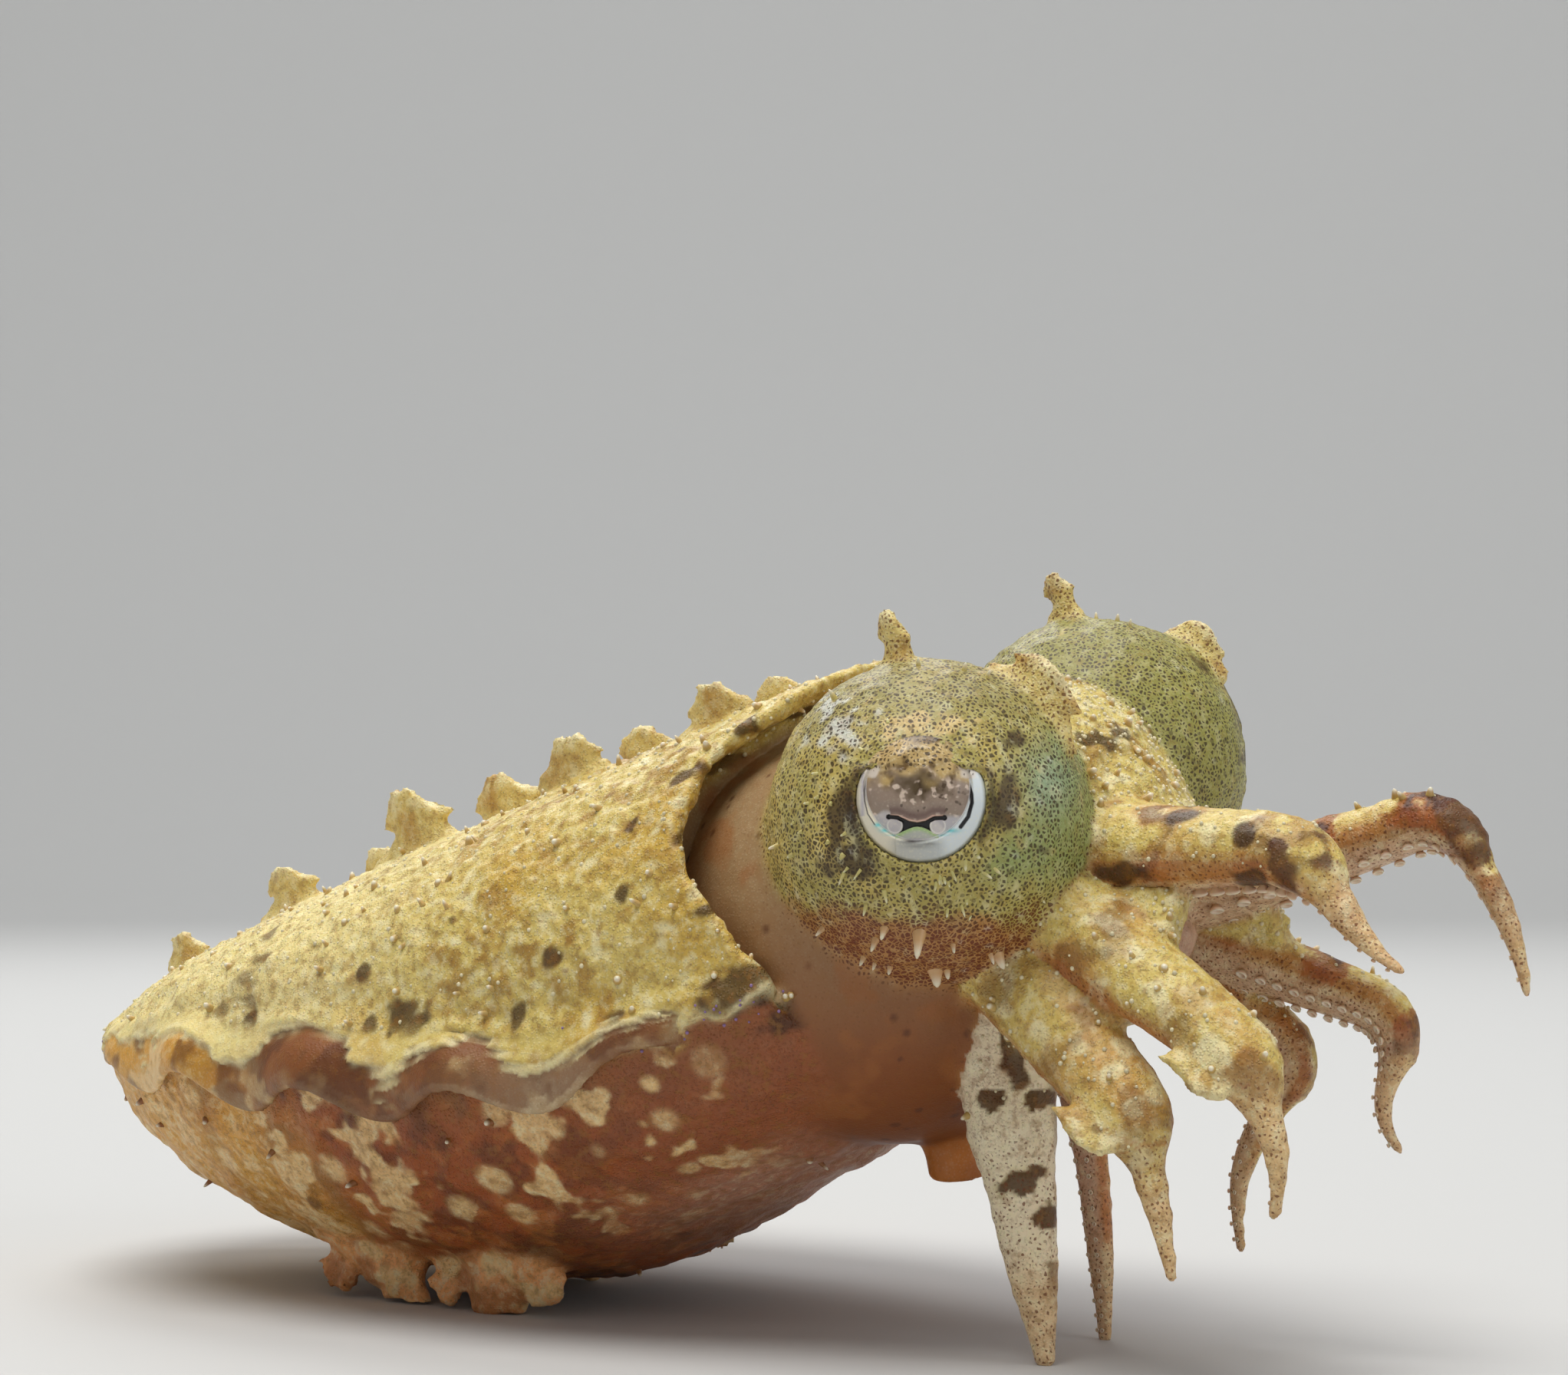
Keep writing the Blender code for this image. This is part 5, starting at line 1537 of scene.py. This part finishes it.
def papilla(base, tip, radius, low, high, start, end, sides=8, rows=7, tip_share=0.45):
    """A soft-pointed cone from base to tip and its points' colours, low at its foot and high above end."""
    line = tip - base
    ahead = unit(line)
    across = unit(np.cross(ahead, (0.3, 0.2, 0.9)))
    over = np.cross(ahead, across)
    cosine, sine = circle(sides)
    shares = np.linspace(-0.25, 1, rows)
    rings = []
    for share in shares:
        half = radius * (tip_share + (1 - tip_share) * (1 - max(0.0, share)) ** 1.3)
        if share >= 0.85:
            half *= 0.8
        if share == 1:
            half = radius * tip_share * 0.35
        rings.append(base + line * share + np.outer(cosine * half, across) + np.outer(sine * half, over))
    levels = np.append(np.repeat(shares, sides), (shares[0], 1.0))
    return skin_rings(rings), blend(low, high, ramp(levels, start, end))


# On both domes: the middle of the base, forward and up, and the tip, as shares of the radius, then the width
DOME_PAPILLAE = (
    (-0.03, -0.71, -0.07, -1.07, 0.34), (-0.24, -0.68, -0.25, -0.81, 0.22), (-0.30, -0.75, -0.33, -0.87, 0.2),
    (0.17, -0.77, 0.16, -0.85, 0.16), (0.39, -0.82, 0.38, -0.94, 0.16), (0.51, -0.97, 0.56, -1.2, 0.36),
    (0.15, -1.11, 0.17, -1.2, 0.24), (0.07, -1.2, 0.14, -1.45, 0.42), (-0.45, -1.0, -0.48, -1.08, 0.18),
    (-0.39, -1.1, -0.39, -1.17, 0.16), (-0.28, -1.15, -0.27, -1.22, 0.18), (-0.78, -0.83, -0.83, -0.9, 0.16),
    (-0.99, -0.18, -1.0, -0.26, 0.16), (-0.65, 0.85, -0.66, 0.95, 0.18), (-0.05, 1.0, -0.05, 1.08, 0.16),
    (0.25, 0.98, 0.27, 1.05, 0.18), (0.4, 0.92, 0.42, 1.0, 0.16), (0.87, -0.78, 0.9, -0.85, 0.2),
)


STREAKS_OF_DOME = 90
SMALL_PAPILLAE = 300
GRANULES = 2000
VIOLET_GRANULES = 160
DOME_EDGE = 0.93


def dome_papillae():
    made = []
    for side in (-1, 1):
        middle, axis, fore, top = dome_frame(side)
        for a, b, tip_a, tip_b, width in DOME_PAPILLAE:
            reach = math.hypot(a, b)
            if reach > DOME_EDGE:
                a, b, tip_a, tip_b = (value * DOME_EDGE / reach for value in (a, b, tip_a, tip_b))
            normal = fore * a + top * b + axis * math.sqrt(max(0.05, 1 - a * a - b * b))
            base = middle + normal * 3.95
            lean = fore * (tip_a - a) + top * (tip_b - b)
            height = 0.3 + 2 * np.linalg.norm(lean)
            tip = base + unit(normal + lean * 2.2) * height * 0.68
            low = tint(214, 172, 122) if b < -0.5 else tint(204, 186, 106)
            high = blend(low, tint(238, 230, 204), 0.9)
            made.append(papilla(base, tip, width * 0.55, low, high, 0.35, 0.9, 14, 9, 0.32))
    return made


def dome_streaks(seed):
    """Slim pale ridges that lie over the domes, pointing away from the eye."""
    random = np.random.default_rng(seed)
    made = []
    for side in (-1, 1):
        middle, axis, fore, top = dome_frame(side)
        for _ in range(STREAKS_OF_DOME):
            turn = random.uniform(0, 2 * math.pi)
            reach = random.uniform(0.44, DOME_EDGE)
            a, b = reach * math.cos(turn) * 1.05, 0.08 + reach * math.sin(turn) * 0.95
            if math.hypot(a, b) > 0.95 or (b > 0 and random.uniform() < 0.35):
                continue
            normal = fore * a + top * b + axis * math.sqrt(1 - min(0.97, a * a + b * b))
            away = fore * math.cos(turn) + top * math.sin(turn)
            away = unit(away - normal * (away @ normal))
            base = middle + normal * DOME_RADII.mean() * 0.985
            length = random.uniform(0.1, 0.26) * (1.2 if b < -0.2 else 0.6)
            tip = base + unit(away + normal * random.uniform(0.1, 0.5) + random.normal(0, 0.25, 3)) * length
            radius = random.uniform(0.04, 0.075)
            low = tint(204, 192, 120)
            high = blend(low, tint(240, 236, 204), random.uniform(0.4, 1.0))
            made.append(papilla(base, tip, radius, low, high, 0.3, 0.9))
    return made


def small_papillae(at, seed):
    """Short soft points scattered over the back, the flanks, the face and the arms' knees."""
    random = np.random.default_rng(seed)
    on = at.on
    chance = (0.25 * on[MANTLE] * at.upper + 0.04 * on[MANTLE] * (1 - at.upper) + 1.0 * on[FACE]
              + 0.2 * on[ARM] * (at.around < 0) * (at.along < of_arms("knee", at.number) + 1))
    made = []
    for i in spaced(at.points, chance, SMALL_PAPILLAE, 0.9, random):
        height = random.uniform(0.12, 0.28)
        base = at.points[i]
        tip = base + unit(at.normals[i] + random.normal(0, 0.25, 3)) * height
        on_yellow = at.upper[i] > 0.5 or on[MANTLE][i] < 0.5
        low = tint(196, 164, 96) if on_yellow else tint(150, 98, 52)
        made.append(papilla(base, tip, random.uniform(0.07, 0.14), low, tint(240, 232, 206), 0.4, 0.9))
    return made


def spaced(points, chance, count, gap, random):
    """Up to count of the points, picked at random by chance and at least about gap apart."""
    order = random.choice(len(points), min(len(points), count * 12), replace=False, p=chance / chance.sum())
    taken, chosen = set(), []
    for i in order:
        cell = tuple(np.floor(points[i] / gap).astype(int))
        if cell in taken:
            continue
        taken.add(cell)
        chosen.append(i)
        if len(chosen) == count:
            break
    return chosen


def granules(at, seed):
    """Small pearly bumps on the crown, the arms and the back, and violet ones along the fin line."""
    random = np.random.default_rng(seed)
    on = at.on
    line = bell(over_fins(unrolled(at.points)), 0, 0.35) * on[MANTLE]
    crown = 2.2 * on[FACE] * ramp(at.points[:, 2], 10, 12)
    back = 0.18 * on[MANTLE] * at.upper
    arms = 0.22 * on[ARM] * (at.around < 0.1) * (at.along < of_arms("knee", at.number))
    chosen = spaced(at.points, crown + back + arms, GRANULES, 0.26, random)
    violet = spaced(at.points, line, VIOLET_GRANULES, 0.35, random)
    ball, faces = pearl()
    made = []
    for group, colour, high in ((chosen, tint(238, 226, 186), 0.07), (violet, tint(160, 128, 180), 0.05)):
        for i in group:
            shape = (at.points[i] + ball * random.uniform(0.03, high), faces)
            made.append((shape, np.tile(colour * random.uniform(0.75, 1.0), (len(ball), 1))))
    return made


def pearl():
    cosine, sine = circle(8)
    turns = math.pi * (np.arange(4) + 0.5) / 4
    return skin_rings([np.column_stack([math.sin(t) * cosine, math.sin(t) * sine, np.full(8, math.cos(t))])
                       for t in turns])


def sucker_shapes():
    """Two rows of cups along the inner side of each arm."""
    rows = ((-0.25, 0.55), (0.1, 0.6), (0.3, 0.95), (0.55, 1.0), (0.62, 0.85), (0.5, 0.6), (0.2, 0.35))
    cosine, sine = circle(16)
    levels = np.append(np.repeat([r[0] for r in rows], 16), (rows[0][0], 0.1))
    colour = blend(tint(206, 170, 134), tint(236, 220, 196), ramp(levels, 0.2, 0.6))
    made = []
    for arm in ARMS.values():
        for i in range(SUCKER_PAIRS * 2):
            share = ((i + 0.5) / (SUCKER_PAIRS * 2)) ** SUCKER_CROWDING
            s = SUCKER_FIRST + (arm["length"] - SUCKER_FIRST - 0.2) * share
            point, _, side, oral = arm_frames(arm, [s])[0]
            width = float(arm_width(arm, s))
            radius = max(0.06, width * SUCKER_SHARE * 0.45)
            around = np.outer(cosine, side) + np.outer(sine, np.cross(oral, side))
            for way in (-1, 1):
                base = point + oral * width / 2 * ARM_DEPTH_SHARE * 0.72 + side * way * width * SUCKER_ROW
                rings = [base + oral * radius * h * 1.6 + around * radius * r for h, r in rows]
                made.append((skin_rings(rings), colour))
    return made


# The studio and the camera

CAMERA_PLACE = (42.99, -72.06, 13.0)
CAMERA_RISE = 2.706
CAMERA_TURN = 35
LENS = 73.73


def make_stage():
    """A pale floor that sweeps up to a wall far behind."""
    sides = 96
    steps = np.linspace(0, math.pi / 2, 12)
    profile = [(0.02, 0.0), (0.1, 0.0), (0.45, 0.0)]
    profile += [(0.45 + 0.3 * math.sin(t), 0.3 - 0.3 * math.cos(t)) for t in steps[1:]] + [(0.75, 0.8)]
    cosine, sine = circle(sides)
    rings = [np.column_stack([cosine * r, sine * r, np.full(sides, h)]) for r, h in profile]
    points = np.vstack([*rings, (0, 0, 0)])
    fan = [(len(points) - 1, (k + 1) % sides, k) for k in range(sides)]
    mesh = bpy.data.meshes.new("floor")
    mesh.from_pydata(points.tolist(), [], ring_quads(len(profile), sides)[0] + fan)
    shape = bmesh.new()
    shape.from_mesh(mesh)
    bmesh.ops.recalc_face_normals(shape, faces=shape.faces)
    shape.to_mesh(mesh)
    shape.free()
    mesh.shade_smooth()
    look = bpy.data.materials.new("paper")
    look.use_nodes = True
    shader = look.node_tree.nodes["Principled BSDF"]
    shader.inputs["Base Color"].default_value = (0.6, 0.6, 0.59, 1)
    shader.inputs["Roughness"].default_value = 0.9
    mesh.materials.append(look)
    added("floor", mesh)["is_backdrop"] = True


def make_light(name, place, target, size, power, colour=(1, 1, 1)):
    light = bpy.data.lights.new(name, "AREA")
    light.shape = "DISK"
    light.size = size
    light.energy = power
    light.color = colour
    lamp = added(name, light)
    lamp.location = place
    lamp.rotation_euler = (Vector(target) - Vector(place)).to_track_quat("-Z", "Y").to_euler()


def make_studio():
    make_stage()
    model = (0, 0, 0.01)
    make_light("key", (0.0, -0.08, 0.3), model, 0.22, 0.68, (1, 0.98, 0.95))
    make_light("fill", (0.26, 0.0, 0.12), model, 0.2, 0.14, (0.95, 0.97, 1))
    make_light("back", (-0.16, 0.16, 0.22), model, 0.16, 0.2)
    make_light("wall", (-0.1, 0.2, 0.55), (-0.45, 0.64, 0.1), 0.3, 1.4)
    world = bpy.data.worlds.new("studio")
    world.use_nodes = True
    background = world.node_tree.nodes["Background"]
    background.inputs["Color"].default_value = (0.9, 0.92, 0.95, 1)
    background.inputs["Strength"].default_value = 0.5
    bpy.context.scene.world = world


def make_camera():
    data = bpy.data.cameras.new("camera")
    data.sensor_width = 36
    data.lens = LENS
    data.clip_start = 0.001
    camera = added("camera", data)
    camera.location = np.array(CAMERA_PLACE) * MM + SHIFT
    camera.rotation_euler = (math.radians(90 + CAMERA_RISE), 0, math.radians(CAMERA_TURN))
    bpy.context.scene.camera = camera


def main():
    global SHIFT
    for obj in list(bpy.data.objects):
        bpy.data.objects.remove(obj)
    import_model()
    low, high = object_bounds()
    low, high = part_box("eye_right")
    SHIFT = np.array((low + high) / 2) - eye_frame(-1)[0] * MM
    skin, at = make_skin(all_forms())
    make_eye(-1, "eye_right_detail")
    make_eye(1, "eye_left_detail")
    papillae = dome_papillae() + dome_streaks(SEED + 2) + small_papillae(at, SEED)
    joined("papillae", *zip(*papillae), painted_material("papillae", 0.4, 0.3, 0.1), "head_skin")
    joined("granules", *zip(*granules(at, SEED + 1)), painted_material("pearl", 0.3, 0.3), "mantle_skin")
    joined("suckers", *zip(*sucker_shapes()), painted_material("cups", 0.35, 0.4, 0.2), "arm_skin")
    make_studio()
    make_camera()
    bpy.context.scene.view_settings.view_transform = "Standard"
    low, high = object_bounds()


main()
